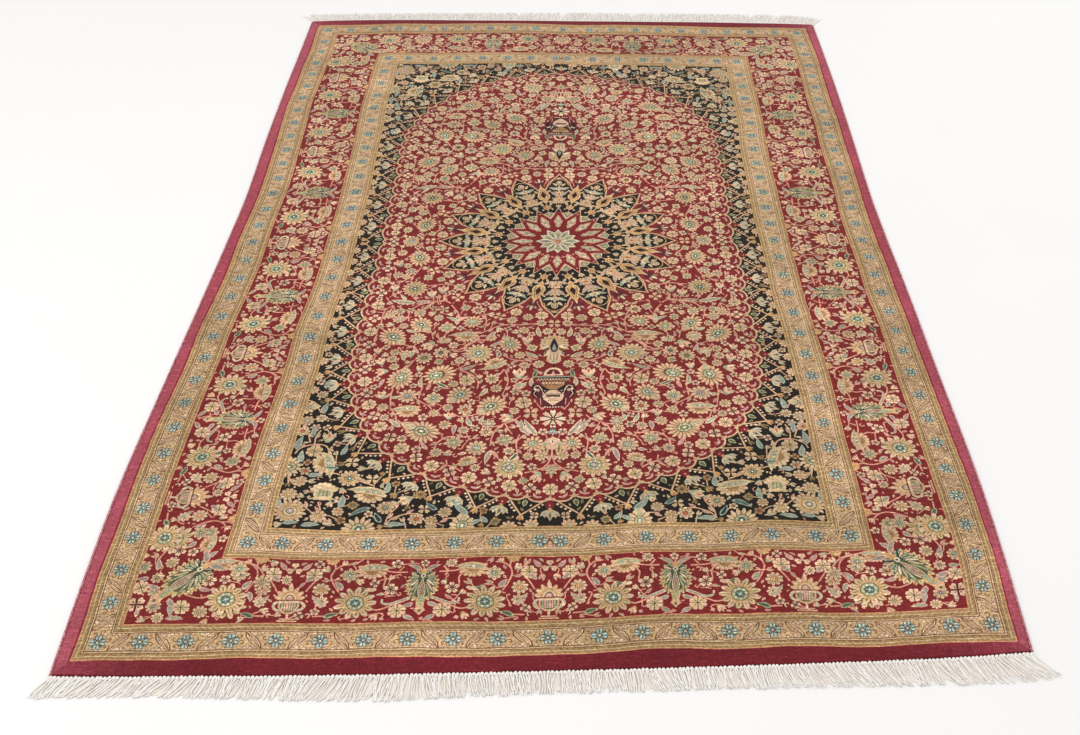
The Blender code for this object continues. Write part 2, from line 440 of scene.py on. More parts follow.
def palmette(art, x, y, length, width, angle, k=9, leafage="apricot", ground="oldgold", heart="sage", core="teal", tips="peach"):
    """A palmette from its foot at (x, y): a fan of petals behind a pointed heart."""
    art.lot()
    turn = angle - math.pi / 2
    cx, cy = 0.0, 0.36 * length

    def at(points):
        return turned(points, turn, x, y)

    art.put(at([(cx + 0.36 * width * math.cos(a), cy + 0.40 * length * math.sin(a)) for a in np.linspace(0, TAU, 12, endpoint=False)]), ground)
    for i in range(k):
        a = (i / (k - 1) - 0.5) * 4.5
        ux, uy = math.sin(a), math.cos(a)
        reach = 1.0 / math.sqrt((ux / (0.5 * width)) ** 2 + (uy / (0.62 * length if uy > 0 else 0.36 * length)) ** 2)
        half = 0.5 * width * 4.4 / k * 0.36
        p = petal(0.30 * reach, reach, half, 0.45)
        p = turned(p, math.atan2(uy, ux))
        art.put(at(p + (cx, cy)), leafage)
        q = turned(slim_petal(0.42 * reach, 0.92 * reach, half * 0.45), math.atan2(uy, ux))
        art.put(at(q + (cx, cy)), tips)
    art.put(at(teardrop(0.74 * length, 0.52 * width) + (0, 0.06 * length)), heart)
    art.put(at(teardrop(0.56 * length, 0.34 * width, 12) + (0, 0.12 * length)), tips)
    art.put(at(teardrop(0.40 * length, 0.20 * width, 10) + (0, 0.17 * length)), core)
    art.put(at(teardrop(0.22 * length, 0.09 * width, 6) + (0, 0.22 * length)), "white")
    for s in (-1, 1):  # small leaves at the foot
        art.put(at([(0, 0), (0.26 * s * width, -0.02 * length), (0.40 * s * width, 0.12 * length), (0.12 * s * width, 0.12 * length)]), "salmon")


def profile_palmette(art, x, y, size, angle, hand=1, tail=0.9, heart="sage", core="teal"):
    """A flower seen from the side: petals fan out on one side of a pointed leaf. angle is where the leaf points."""
    art.lot()
    turn = angle

    def at(points):
        p = np.asarray(points, float)
        p = p * (1, hand)
        return turned(p, turn, x, y, size)

    k = 9
    art.put(at([(0.42 * math.cos(a), 0.10 + 0.30 * math.sin(a)) for a in np.linspace(0, TAU, 12, endpoint=False)]), "oldgold")
    for i in range(k):
        a = math.radians(200) - i * math.radians(205) / (k - 1)
        reach = 0.50 + 0.07 * math.cos(2 * a)
        p = petal(0.22, reach, 0.085, 0.6)
        art.put(at(turned(p, a) + (0, 0.06)), "apricot")
        art.put(at(turned(slim_petal(0.28, reach * 0.92, 0.035), a) + (0, 0.06)), "peach")
    # the long pointed leaf below the fan
    blade = [(-0.52, 0.05), (-0.30, -0.20), (0.05, -0.26), (0.45, -0.20), (0.5 + 0.5 * tail, -0.02), (0.42, 0.02), (0.1, 0.10), (-0.25, 0.10)]
    art.put(at(blade), "apricot")
    art.put(at([(-0.40, 0.02), (-0.22, -0.13), (0.08, -0.18), (0.42, -0.13), (0.5 + 0.34 * tail, -0.03), (0.3, 0.0), (0.0, 0.06), (-0.25, 0.05)]), heart)
    art.put(at([(-0.24, 0.00), (-0.06, -0.10), (0.16, -0.10), (0.34, -0.06), (0.16, 0.0), (-0.05, 0.03)]), "peach")
    for dx in (-0.07, 0.13):
        cx, cy = at([(dx, -0.035)])[0]
        art.disc(cx, cy, 0.055 * size, core, n=7)
        art.disc(cx, cy, 0.022 * size, "white", n=5)


def cup_flower(art, x, y, size, angle, ground="sage"):
    """A round cup with a turned-over rim, on a ruff of petals."""
    art.lot()
    turn = angle - math.pi / 2

    def at(points):
        return turned(np.asarray(points, float), turn, x, y, size)

    for i in range(7):
        a = math.radians(200 + i * 140 / 6)
        art.put(at(turned(petal(0.16, 0.50, 0.10, 0.6), a) + (0, 0.40)), "apricot")
    art.put(at([(0.34 * math.cos(a), 0.48 + 0.30 * math.sin(a)) for a in np.linspace(0, TAU, 14, endpoint=False)]), "peach")
    art.put(at([(0.27 * math.cos(a), 0.46 + 0.22 * math.sin(a)) for a in np.linspace(0, TAU, 12, endpoint=False)]), ground)
    for dx in (-0.12, 0.0, 0.12):
        art.put(at([(dx - 0.03, 0.28), (dx + 0.03, 0.28), (dx * 1.2 + 0.03, 0.62), (dx * 1.2 - 0.03, 0.62)]), "olive")
    art.put(at([(-0.36, 0.66), (0, 0.58), (0.36, 0.66), (0.30, 0.78), (0, 0.72), (-0.30, 0.78)]), "apricot")
    for s in (-1, 1):
        art.ribbon(at([(0.34 * s, 0.70), (0.46 * s, 0.74), (0.52 * s, 0.66), (0.46 * s, 0.60), (0.42 * s, 0.66)]), 0.05 * size, "peach")


def vine(art, points, dye="salmon", width=0.0016, step=0.007, taper=None, sprigs=0.0):
    """A stem; sprigs is how far apart small leaves stand along it, on alternate sides."""
    line = curve(points, step)
    art.ribbon(line, width, dye, taper)
    if sprigs:
        far = arc_lengths(line)
        for i, s in enumerate(np.arange(sprigs * 0.55, far[-1], sprigs)):
            x, y = np.interp(s, far, line[:, 0]), np.interp(s, far, line[:, 1])
            ax, ay = np.interp(s - 0.004, far, line[:, 0]), np.interp(s - 0.004, far, line[:, 1])
            hand = 1 if i % 2 else -1
            leaf(art, x, y, 0.0150, 0.0064, math.atan2(y - ay, x - ax) + hand * 0.72, bend=0.25 * hand, edge="salmon", fill=("sage", "mauve", "slate")[i % 3], n=5)
    return line
# ==== the frame: guards and main border =======================================================================
# Half sizes of the frames, from the middle of the rug.

GUARD_OUT = (0.679, 1.054)
GUARD_IN = (0.619, 0.994)
BORDER_IN = (0.496, 0.871)
FIELD = (0.436, 0.811)


def frame_line(art, edge, d0, d1, dye):
    """A stripe of a frame, from d0 to d1 inside the frame's outer edge."""
    art.corner_band(edge[0] - d1, edge[1] - d1, edge[0] - d0, edge[1] - d0, dye)


def zigzag(art, edge, d0, d1, period, ground, tooth, line, flip=False):
    """A stripe with a fine pale zigzag, and a thread of small steps along its middle, round the frame."""
    frame_line(art, edge, d0, d1, ground)
    a, b = (d1, d0) if flip else (d0, d1)
    h = b - a
    frame_line(art, edge, d0 + 0.42 * (d1 - d0), d0 + 0.58 * (d1 - d0), line)
    for axis in (0, 1):
        length = edge[1 - axis] - (d0 + d1) / 2
        n = int(round(length / period))
        p = length / n
        for i in range(n):
            for shape, dye in (
                ([(i * p, a + 0.04 * h), ((i + 0.15) * p, a + 0.04 * h), ((i + 0.65) * p, a + 0.40 * h), ((i + 0.50) * p, a + 0.40 * h)], tooth),
                ([((i + 0.50) * p, a + 0.56 * h), ((i + 0.65) * p, a + 0.60 * h), ((i + 1.15) * p, a + 0.96 * h), ((i + 1.00) * p, a + 0.96 * h)], tooth),
            ):
                pts = [(t, edge[axis] - d) for t, d in shape]
                art.put([(v, u) for u, v in pts] if axis == 0 else pts, dye)


def guard_rosette(art, r, wide=1.0):
    """Four pale heart-shaped lobes, each with a dark line round it, about a small cream heart."""
    art.lot()
    for k in range(4):
        a = k * TAU / 4
        lobe = np.array([(0.05, 0), (0.52, -0.46), (0.96, -0.40), (0.84, 0), (0.96, 0.40), (0.52, 0.46)]) * r
        art.put(turned(lobe, a) * (wide, 1), "guard_dark")
        tip = np.array([(0.50, -0.12), (0.86, 0.0), (0.50, 0.12)]) * r
        art.put(turned(tip, a + TAU / 8) * (wide, 1), "guard_dark")
    for k in range(4):
        a = k * TAU / 4
        for s in (-1, 1):
            half = np.array([(0.30, 0.05 * s), (0.52, 0.33 * s), (0.86, 0.33 * s), (0.80, 0.07 * s)]) * r
            art.put(turned(half, a) * (wide, 1), "guard_blue")
            art.put(turned(np.array([(0.52, 0.15 * s), (0.60, 0.26 * s), (0.76, 0.22 * s), (0.68, 0.12 * s)]) * r, a) * (wide, 1), "cream")
    art.disc(0, 0, 0.25 * r, "guard_dark", n=8)
    art.disc(0, 0, 0.16 * r, "cream", n=6)


def guard_scrolls(art, p, w):
    """Half of the arabesque between two rosettes, from t = 0 at a rosette to t = p/2; n = 0 is the guard's middle."""
    art.lot()
    h = w / 2
    q = p / 2
    # the half leaf that sweeps from edge to edge, with a brown line round it
    art.put([(q, 0.06 * h), (q - 0.004, -0.40 * h), (q - 0.011, -0.98 * h), (0.56 * q, -0.98 * h), (0.62 * q, -0.42 * h), (0.82 * q, 0.20 * h), (q, 0.50 * h)], "umber")
    art.put([(q, 0.12 * h), (q - 0.0045, -0.30 * h), (q - 0.0115, -0.86 * h), (0.64 * q, -0.84 * h), (0.68 * q, -0.42 * h), (0.86 * q, 0.14 * h), (q, 0.38 * h)], "peach")
    art.ribbon([(q, 0.24 * h), (0.84 * q, -0.12 * h), (0.70 * q, -0.70 * h)], 0.0009, "umber")
    # two scrolls beside the rosette
    for cx, cy, r, hand, turn in ((0.49 * q, 0.34 * h, 0.0064, 1, 2.6), (0.40 * q, -0.56 * h, 0.0048, -1, 3.4)):
        t = np.linspace(0, 1, 10)
        a = turn + hand * t * 5.2
        rr = r * (1 - 0.74 * t)
        art.ribbon(np.stack([cx + rr * np.cos(a), cy + rr * np.sin(a)], 1), 0.0015, "umber")
        art.disc(cx, cy, 0.0013, "rust", n=5)
    # pale lobes along both lines
    for t, n, r in ((0.80, 0.80, 0.0034), (0.66, 0.92, 0.0026), (0.92, 0.92, 0.0028), (0.99, -0.80, 0.0036), (0.86, -0.96, 0.0024), (0.28, -0.96, 0.0026), (0.26, 0.96, 0.0026)):
        art.disc(t * q, n * h, r + 0.0009, "umber", n=7)
        art.disc(t * q, n * h, r, "peach", n=7)


def guard(art, edge, lines, stations, main):
    """One guard: its stripes, then rosettes at the stations along each arm and in the corner."""
    for d0, d1, dye in lines:
        frame_line(art, edge, d0, d1, dye)
    d0, d1 = main
    mid, w = (d0 + d1) / 2, d1 - d0
    frame_line(art, edge, d0, d1, "guard")
    inner_x, outer_x, inner_y, outer_y = edge[0] - d1, edge[0] - d0, edge[1] - d1, edge[1] - d0
    corner = (edge[0] - mid, edge[1] - mid)
    for axis in (0, 1):
        stops = list(stations[axis]) + [corner[1 - axis]]
        for i, t in enumerate(stops):
            for way in (-1, 1):
                j = i + way
                if j < 0:
                    gap = 2 * t if t > 0.01 else 0.0
                elif j >= len(stops):
                    continue
                else:
                    gap = abs(stops[j] - t)
                if gap < 0.03:
                    continue
                x, y = (corner[0], t) if axis == 0 else (t, corner[1])
                # +X along the arm, +Y inwards
                base = math.pi / 2 if axis == 0 else 0.0
                along = base if way == 1 else base + math.pi
                art.placed(x, y, along, mirror=(axis == 0) == (way == -1))
                if i % 2 == 1:
                    art.turn = art.turn @ np.diag([1.0, -1.0])
                if axis == 0:
                    art.window = QUARTER + ((1.0, 0.0, inner_x), (-1.0, 0.0, -outer_x), (0.0, -1.0, -outer_y))
                else:
                    art.window = QUARTER + ((0.0, 1.0, inner_y), (0.0, -1.0, -outer_y), (-1.0, 0.0, -outer_x))
                guard_scrolls(art, gap, w)
                art.window = QUARTER
        for t in stops:
            x, y = (corner[0], t) if axis == 0 else (t, corner[1])
            art.placed(x, y, math.pi / 2 if axis == 0 else 0.0)
            guard_rosette(art, 0.46 * w)
    art.home()


# ---- main border: drawn along +X with +Y from the outer guard (0) to the inner guard (0.123) ---------------------


def border_palmette(art):
    """A large feathered palmette: long dark-edged leaves swept up round an almond, inside a ring of pale tips."""
    art.lot()
    cy = 0.067
    art.put([(0.0215 * math.cos(a), cy + 0.0315 * math.sin(a)) for a in np.linspace(0, TAU, 16, endpoint=False)], "umber")
    for i in range(21):
        a = math.radians(-66 + i * 312 / 20)
        reach = 0.0318 * (1 + 0.17 * math.cos(2 * (a - math.pi / 2)))
        if math.sin(a) < -0.5:
            reach *= 0.88
        art.put(turned(petal(0.014, reach, 0.0034, 0.30), a, 0, cy), ("wheat", "gold", "wheat")[i % 3])
        art.put(turned(slim_petal(0.017, reach * 0.92, 0.0011), a, 0, cy), "olive")
    art.put([(0.0168 * math.cos(a), cy + 0.0232 * math.sin(a)) for a in np.linspace(0, TAU, 14, endpoint=False)], "moss")
    for i, (a, long, w, y0) in enumerate(((74, 0.0170, 0.0052, 0.085), (50, 0.0185, 0.0054, 0.086), (27, 0.0195, 0.0056, 0.086), (4, 0.0195, 0.0058, 0.085), (-18, 0.0215, 0.0058, 0.084), (-37, 0.0255, 0.0058, 0.083), (-53, 0.0315, 0.0056, 0.081), (-66, 0.0385, 0.0054, 0.079))):
        for s in (-1, 1):
            ang = math.radians(a if s == 1 else 180 - a)
            leaf(art, s * 0.0028, y0, long, w, ang, bend=0.13 * s, edge=("deep_teal", "green")[i % 2], fill=("sage", "cream", "wheat", "sage")[i % 4], n=6)
    art.put(turned(teardrop(0.048, 0.0160, 14), 0, 0, 0.040), "deep_teal")
    art.put(turned(teardrop(0.044, 0.0130, 14), 0, 0, 0.0420), "wheat")
    art.put(turned(teardrop(0.037, 0.0094, 12), 0, 0, 0.0455), "moss")
    art.put(turned(teardrop(0.032, 0.0072, 12), 0, 0, 0.0475), "mauve")
    art.put(turned(teardrop(0.022, 0.0036, 8), 0, 0, 0.049), "olive")
    # neck and foot
    art.put([(-0.0075, 0.046), (-0.0055, 0.027), (-0.0090, 0.020), (0.0090, 0.020), (0.0055, 0.027), (0.0075, 0.046)], "gold")
    art.put([(-0.0042, 0.048), (-0.0028, 0.028), (0.0028, 0.028), (0.0042, 0.048)], "sage")
    art.put([(-0.0085, 0.022), (0, 0.012), (0.0085, 0.022), (0.0045, 0.029), (-0.0045, 0.029)], "apricot")
    art.disc(0, 0.0205, 0.0026, "green", n=6)
    # crown
    for s in (-1, 1):
        leaf(art, s * 0.003, 0.098, 0.024, 0.0085, math.radians(90 - s * 38), bend=0.42 * s, edge="pink", fill="slate", n=6)
        leaf(art, s * 0.010, 0.036, 0.018, 0.0085, math.radians(-90 + s * 52), bend=-0.4 * s, edge="pink", fill="slate", n=5)
        art.ribbon([(0, 0.087), (s * 0.008, 0.092), (s * 0.015, 0.099)], 0.0022, "deep_teal")
    art.put([(-0.0050, 0.094), (0, 0.088), (0.0050, 0.094), (0.0028, 0.102), (0, 0.106), (-0.0028, 0.102)], "gold")
    art.disc(0, 0.0880, 0.0042, "cream", n=7)
    art.disc(0, 0.0880, 0.0019, "deep_teal", n=5)


def border_vase(art):
    art.lot()
    for y0, y1, hw in ((0.0025, 0.0055, 0.0165), (0.0070, 0.0095, 0.0135)):
        art.rect(-hw, y0, hw, y1, "apricot")
    art.put([(-0.0022, 0.009), (0.0022, 0.009), (0.0022, 0.022), (-0.0022, 0.022)], "peach")
    for s in (-1, 1):
        pts = curve([(0.012 * s, 0.026), (0.021 * s, 0.028), (0.0255 * s, 0.036), (0.020 * s, 0.0435), (0.0155 * s, 0.040), (0.0165 * s, 0.034)], 0.004)
        art.ribbon(pts, 0.0048, "cream")
        art.ribbon(pts, 0.0014, "sage")
    bowl = [(-0.0165, 0.044), (-0.0175, 0.034), (-0.013, 0.024), (-0.006, 0.019), (0.006, 0.019), (0.013, 0.024), (0.0175, 0.034), (0.0165, 0.044)]
    art.put(turned(bowl, 0, 0, -0.001, 1.08), "brown")
    art.put(bowl, "apricot")
    art.put(turned(bowl, 0, 0, 0.0075, 0.80), "moss")
    for x in (-0.0100, -0.0060, -0.0020, 0.0020, 0.0060, 0.0100):
        art.rect(x - 0.0014, 0.026, x + 0.0014, 0.042, "pink" if abs(x) < 0.008 else "sage")
    art.rect(-0.0175, 0.042, 0.0175, 0.0465, "peach")
    art.rect(-0.0160, 0.0465, 0.0160, 0.0484, "brown")
    for i in range(7):
        a = math.radians(12 + i * 26)
        art.put(turned(petal(0.008, 0.0245 + 0.006 * math.sin(a), 0.0046, 0.5), a, 0, 0.049), "apricot")
        art.put(turned(slim_petal(0.010, 0.022 + 0.006 * math.sin(a), 0.0018), a, 0, 0.049), "peach")
    art.put([(0.0150 * math.cos(a), 0.049 + 0.0200 * math.sin(a)) for a in np.linspace(0, math.pi, 8)], "gold")
    art.put([(0.0110 * math.cos(a), 0.049 + 0.0150 * math.sin(a)) for a in np.linspace(0, math.pi, 8)], "peach")
    art.put([(0.0080 * math.cos(a), 0.049 + 0.0115 * math.sin(a)) for a in np.linspace(0, math.pi, 8)], "moss")
    art.put([(0.0060 * math.cos(a), 0.049 + 0.0090 * math.sin(a)) for a in np.linspace(0, math.pi, 6)], "pink")
    art.put([(-0.004, 0.076), (0, 0.071), (0.004, 0.076), (0, 0.087)], "peach")


def beside_palmette(art):
    """What stands on one side of a palmette, out to the big rosette at 0.095."""
    leafy = curve([(0.016, 0.046), (0.030, 0.040), (0.046, 0.034), (0.056, 0.037), (0.057, 0.044)], 0.004)
    art.lot()
    art.ribbon(leafy, 0.0062, "cream", taper=0.0028)
    art.ribbon(leafy[1:-1], 0.0034, "slate", taper=0.0016)
    vine(art, [(0.020, 0.042), (0.045, 0.030), (0.062, 0.024), (0.075, 0.028)], "salmon", 0.0026)
    vine(art, [(0.048, 0.056), (0.056, 0.068), (0.055, 0.084), (0.062, 0.094)], "salmon", 0.0026)
    vine(art, [(0.024, 0.0965), (0.045, 0.097), (0.058, 0.100)], "salmon", 0.0026)
    vine(art, [(0.030, 0.108), (0.036, 0.099)], "salmon", 0.0026)
    lattice_rosette(art, 0.033, 0.021, 0.0128)
    leaf(art, 0.024, 0.012, 0.020, 0.0085, math.radians(196), bend=-0.28, edge="pink", fill="slate")
    blossom(art, 0.0455, 0.063, 0.0115, n=5, angle=0.4)
    profile_palmette(art, 0.076, 0.1035, 0.041, math.radians(180), hand=1, tail=0.50)
    crescent(art, 0.080, 0.0715, 0.026, math.radians(95), edge="sage", fill="green")
    petals(art, 0.074, 0.0665, 4, 0.002, 0.0085, 0.0030, "peach", math.radians(-90), spread=1.9)
    curl(art, 0.036, 0.084, 0.0055, 0.3, 1, "salmon", 0.0020)
    bud(art, 0.062, 0.018, 0.016, math.radians(-60), "peach", "gold")
    art.put([(0.050, 0.006), (0.056, 0.004), (0.058, 0.009), (0.053, 0.011)], "pink")
    art.ribbon([(0.046, 0.050), (0.054, 0.048)], 0.0018, "salmon")


def beside_vase(art):
    """What stands on one side of a vase, out to the big rosette at 0.095."""
    vine(art, [(0.070, 0.058), (0.062, 0.072), (0.056, 0.090), (0.060, 0.106), (0.055, 0.122)], "salmon", 0.0026)
    vine(art, [(0.058, 0.100), (0.068, 0.111), (0.082, 0.113)], "salmon", 0.0026)
    vine(art, [(0.022, 0.060), (0.030, 0.074), (0.036, 0.084)], "salmon", 0.0026)
    vine(art, [(0.036, 0.012), (0.060, 0.014), (0.072, 0.016)], "salmon", 0.0026)
    curl(art, 0.029, 0.010, 0.0050, 0.2, 1, "peach", 0.0020)
    bud(art, 0.070, 0.111, 0.012, math.radians(60), "peach", "gold")
    bud(art, 0.052, 0.098, 0.016, math.radians(130), "peach", "sage")
    pointed_rosette(art, 0.0825, 0.091, 0.0138)
    lattice_rosette(art, 0.0310, 0.093, 0.0125)
    rosette(art, 0.0440, 0.0640, 0.0122, n=9, heart="rust", ring="gold")
    star_flower(art, 0.046, 0.040, 0.0105, n=8, heart="teal", dark="olive")
    saw_leaf(art, 0.052, 0.031, 0.030, 0.0105, math.radians(140), bend=0.15, edge="pink", fill="sage")
    leaf(art, 0.020, 0.078, 0.018, 0.0085, math.radians(60), bend=0.2, edge="pink", fill="slate")
    leaf(art, 0.074, 0.062, 0.020, 0.010, math.radians(104), bend=-0.35, edge="pink", fill="slate")
    leaf(art, 0.052, 0.010, 0.022, 0.009, math.radians(40), bend=0.35, edge="sage", fill="green")
    leaf(art, 0.012, 0.103, 0.019, 0.0085, math.radians(34), bend=-0.25, edge="pink", fill="mauve")
    for x, y in ((0.060, 0.050), (0.024, 0.052), (0.066, 0.030)):
        art.put([(x - 0.0022, y), (x, y - 0.0022), (x + 0.0022, y), (x, y + 0.0022)], "peach")
    art.lot()
    for i in range(5):
        a = math.radians(190 + i * 40)
        art.put(turned(petal(0.001, 0.0105, 0.0032, 0.6), a, 0.054, 0.1225), "gold")


def three_lobes(art, x, y, r):
    art.lot()
    for a in (90, -30, 210):
        a = math.radians(a)
        art.put(turned([(0.1 * r, 0), (0.6 * r, -0.48 * r), (r, -0.32 * r), (0.92 * r, 0), (r, 0.32 * r), (0.6 * r, 0.48 * r)], a, x, y), "peach")
        art.put(turned(slim_petal(0.3 * r, 0.8 * r, 0.12 * r), a, x, y), "salmon")
    art.disc(x, y, 0.22 * r, "mauve", n=6)


def border_half(art, kind, gap, last=False):
    """Half of one span of the border: from a palmette or a vase at 0 to the next big rosette at gap."""
    (beside_palmette if kind == "palmette" else beside_vase)(art)
    big_rosette(art, gap, 0.037, 0.0284, n=13, angle=0.2 if kind == "palmette" else 0.5)


def main_border(art):
    art.corner_band(BORDER_IN[0], BORDER_IN[1], GUARD_IN[0], GUARD_IN[1], "border_red")
    side_stops = ((0.0, "vase"), (0.19, "palmette"), (0.3685, "vase"), (0.551, "palmette"), (0.74, "vase"))
    end_stops = ((0.0, "vase"), (0.19, "palmette"), (0.385, "vase"))
    for axis, stops in ((0, side_stops), (1, end_stops)):
        for i, (t, kind) in enumerate(stops):
            for way in (-1, 1):
                j = i + way
                if j < 0:
                    gap = 0.095
                elif j < len(stops):
                    gap = abs(stops[j][0] - t) / 2
                else:
                    gap = 0.091
                x, y = (GUARD_IN[0], t) if axis == 0 else (t, GUARD_IN[1])
                # +X along the arm in direction way, +Y inwards
                if axis == 1:
                    art.placed(x, y, 0.0 if way == 1 else math.pi, mirror=way == 1)
                else:
                    art.placed(x, y, math.pi / 2 if way == 1 else -math.pi / 2, mirror=way == -1)
                art.turn = art.turn @ np.diag([gap / 0.095, 1.0])
                border_half(art, kind, 0.095)
                if kind == "vase" and way == 1:
                    three_lobes(art, 0, 0.104, 0.0125)
        for t, kind in stops:
            x, y = (GUARD_IN[0], t) if axis == 0 else (t, GUARD_IN[1])
            art.placed(x, y, 0.0 if axis == 1 else math.pi / 2, mirror=axis == 1)
            whole = art.turn
            art.turn = whole * (1.0 if kind == "palmette" else 0.90)
            (border_palmette if kind == "palmette" else border_vase)(art)
            art.turn = whole
            if kind == "vase":
                three_lobes(art, 0, 0.104, 0.0125)
    art.home()
    border_corner(art)


def border_corner(art):
    """The corner of the border: a palmette on the diagonal with its own rosettes and leaves."""
    vine(art, [(0.585, 0.845), (0.595, 0.87), (0.585, 0.885)], "salmon", 0.0026)
    vine(art, [(0.49, 0.935), (0.515, 0.948), (0.54, 0.94)], "salmon", 0.0026)
    vine(art, [(0.430, 0.905), (0.425, 0.925), (0.436, 0.95)], "salmon", 0.0026)
    vine(art, [(0.428, 0.905), (0.445, 0.884), (0.475, 0.876)], "salmon", 0.0026)
    vine(art, [(0.500, 0.885), (0.520, 0.900), (0.512, 0.915)], "salmon", 0.0026)
    big_rosette(art, 0.599, 0.828, 0.0265, n=13)
    big_rosette(art, 0.478, 0.950, 0.0285, n=12, angle=0.3)
    rosette(art, 0.615, 0.8855, 0.0122, n=9)
    lattice_rosette(art, 0.609, 0.925, 0.0125, angle=0.5)
    rosette(art, 0.582, 0.9620, 0.0115, n=9, heart="deep_teal", ring="mauve")
    lattice_rosette(art, 0.541, 0.9640, 0.0128)
    pointed_rosette(art, 0.467, 0.8926, 0.0138)
    rosette(art, 0.430, 0.917, 0.0128, n=9, heart="rust")
    pointed_rosette(art, 0.5440, 0.8185, 0.0138)
    blossom(art, 0.609, 0.9575, 0.0150, n=4, angle=math.pi / 4)
    blossom(art, 0.568, 0.853, 0.0118, n=5, angle=0.2)
    blossom(art, 0.506, 0.915, 0.0112, n=5, angle=0.9)
    rosette(art, 0.5870, 0.9330, 0.0105, n=8)
    profile_palmette(art, 0.522, 0.842, 0.034, math.radians(-92), hand=1, tail=0.5)
    profile_palmette(art, 0.494, 0.880, 0.034, math.radians(182), hand=-1, tail=0.5)
    leaf(art, 0.560, 0.935, 0.026, 0.0095, math.radians(190), bend=0.35, edge="pink", fill="slate")
    leaf(art, 0.592, 0.893, 0.026, 0.0095, math.radians(262), bend=-0.35, edge="pink", fill="slate")
    leaf(art, 0.519, 0.869, 0.018, 0.009, math.radians(225), bend=0.1, edge="pink", fill="slate")
    leaf(art, 0.520, 0.928, 0.020, 0.009, math.radians(150), bend=-0.3, edge="pink", fill="mauve")
    leaf(art, 0.560, 0.960, 0.022, 0.009, math.radians(120), bend=0.3, edge="pink", fill="sky")
    leaf(art, 0.600, 0.906, 0.020, 0.009, math.radians(20), bend=0.3, edge="pink", fill="slate")
    leaf(art, 0.546, 0.836, 0.018, 0.009, math.radians(60), bend=0.3, edge="pink", fill="slate")
    leaf(art, 0.448, 0.935, 0.020, 0.009, math.radians(120), bend=0.3, edge="pink", fill="slate")
    bud(art, 0.500, 0.985, 0.014, math.radians(60), "peach", "gold")
    bud(art, 0.612, 0.862, 0.014, math.radians(0), "peach", "gold")
    saw_leaf(art, 0.560, 0.985, 0.026, 0.010, math.radians(185), bend=0.1, edge="pink", fill="sage")
    saw_leaf(art, 0.606, 0.968, 0.014, 0.008, math.radians(100), bend=0.1, edge="pink", fill="sage")
    curl(art, 0.548, 0.870, 0.005, 1.0, 1, "peach", 0.0018)
    curl(art, 0.536, 0.882, 0.005, 0.4, -1, "peach", 0.0018)


def corner_palmette(art):
    """It points at the rug's middle."""
    art.placed(0.6010, 0.9688, math.radians(135))
    art.turn = art.turn * 1.22
    border_palmette(art)
    art.home()


def draw_frame(art):
    main_border(art)
    corner_palmette(art)
    # inner guard
    art.window = QUARTER
    inner = BORDER_IN
    lines = ((0.0, 0.0016, "line_rose"), (0.0016, 0.0024, "umber"))
    for d0, d1, dye in lines:
        frame_line(art, inner, d0, d1, dye)
    zigzag(art, inner, 0.0024, 0.0118, 0.0086, "straw", "umber", "wheat", flip=True)
    frame_line(art, inner, 0.0118, 0.0130, "peach")
    guard(
        art,
        inner,
        ((0.0130, 0.0144, "umber"), (0.0144, 0.0164, "wheat"), (0.0444, 0.0458, "wheat"), (0.0458, 0.0470, "umber")),
        ((0.0, 0.064, 0.128, 0.192, 0.256, 0.320, 0.384, 0.448, 0.512, 0.576, 0.640, 0.704, 0.768), (0.016, 0.083, 0.149, 0.215, 0.281, 0.347, 0.413)),
        (0.0164, 0.0444),
    )
    frame_line(art, inner, 0.0470, 0.0482, "peach")
    zigzag(art, inner, 0.0482, 0.0580, 0.0086, "straw", "umber", "wheat")
    frame_line(art, inner, 0.0580, 0.0600, "gold")
    # outer guard
    outer = GUARD_OUT
    frame_line(art, outer, 0.0, 0.0018, "line_rose")
    zigzag(art, outer, 0.0018, 0.0108, 0.0084, "straw", "umber", "wheat", flip=True)
    frame_line(art, outer, 0.0108, 0.0120, "umber")
    guard(
        art,
        outer,
        ((0.0120, 0.0140, "wheat"), (0.0140, 0.0156, "umber"), (0.0442, 0.0456, "umber"), (0.0456, 0.0472, "wheat"), (0.0472, 0.0484, "umber")),
        ((0.0, 0.0635, 0.127, 0.1905, 0.254, 0.3175, 0.381, 0.4445, 0.508, 0.5715, 0.635, 0.6985, 0.762, 0.8255, 0.889, 0.9525), (0.0, 0.074, 0.138, 0.203, 0.267, 0.331, 0.395, 0.460, 0.524, 0.588)),
        (0.0156, 0.0442),
    )
    zigzag(art, outer, 0.0484, 0.0584, 0.0088, "straw", "umber", "wheat")
    frame_line(art, outer, 0.0584, 0.0600, "line_rose")
    # plain outer band
    art.corner_band(GUARD_OUT[0], GUARD_OUT[1], 0.75, 1.13, "band_red")
    # the side strips carry painted sheen: rosier and lighter than the end band
    for i in range(9):
        y0, y1 = (-0.02 if i == 0 else 0.104 * i), 0.104 * (i + 1)
        art.put([(GUARD_OUT[0], y0), (0.75, y0), (0.75, y1), (GUARD_OUT[0], y1)], "band_%d" % i)
    art.put([(GUARD_OUT[0], 0.936), (0.75, 0.936), (0.75, 1.125), (GUARD_OUT[0], GUARD_OUT[1])], "band_8")
    # a darker strip along the inner edge of the side band: painted shade, the dark end of the painted sheen that
    # lightens towards the outer edge
    art.put([(GUARD_OUT[0], -0.02), (GUARD_OUT[0] + 0.0045, -0.02), (GUARD_OUT[0] + 0.0045, GUARD_OUT[1] + 0.0045), (GUARD_OUT[0], GUARD_OUT[1])], "band_in")
    for i in range(6):  # the painted sheen of the sides fades into the end band
        x0, x1 = 0.700 - 0.030 * (i + 1), 0.700 - 0.030 * i
        art.put([(x0, GUARD_OUT[1]), (min(x1, GUARD_OUT[0]), GUARD_OUT[1]), (x1, 1.125), (x0, 1.125)], "end_%d" % i)
    art.put([(GUARD_OUT[0], GUARD_OUT[1]), (0.75, 1.125), (0.700, 1.125)], "end_0")
# ==== the field ===============================================================================================


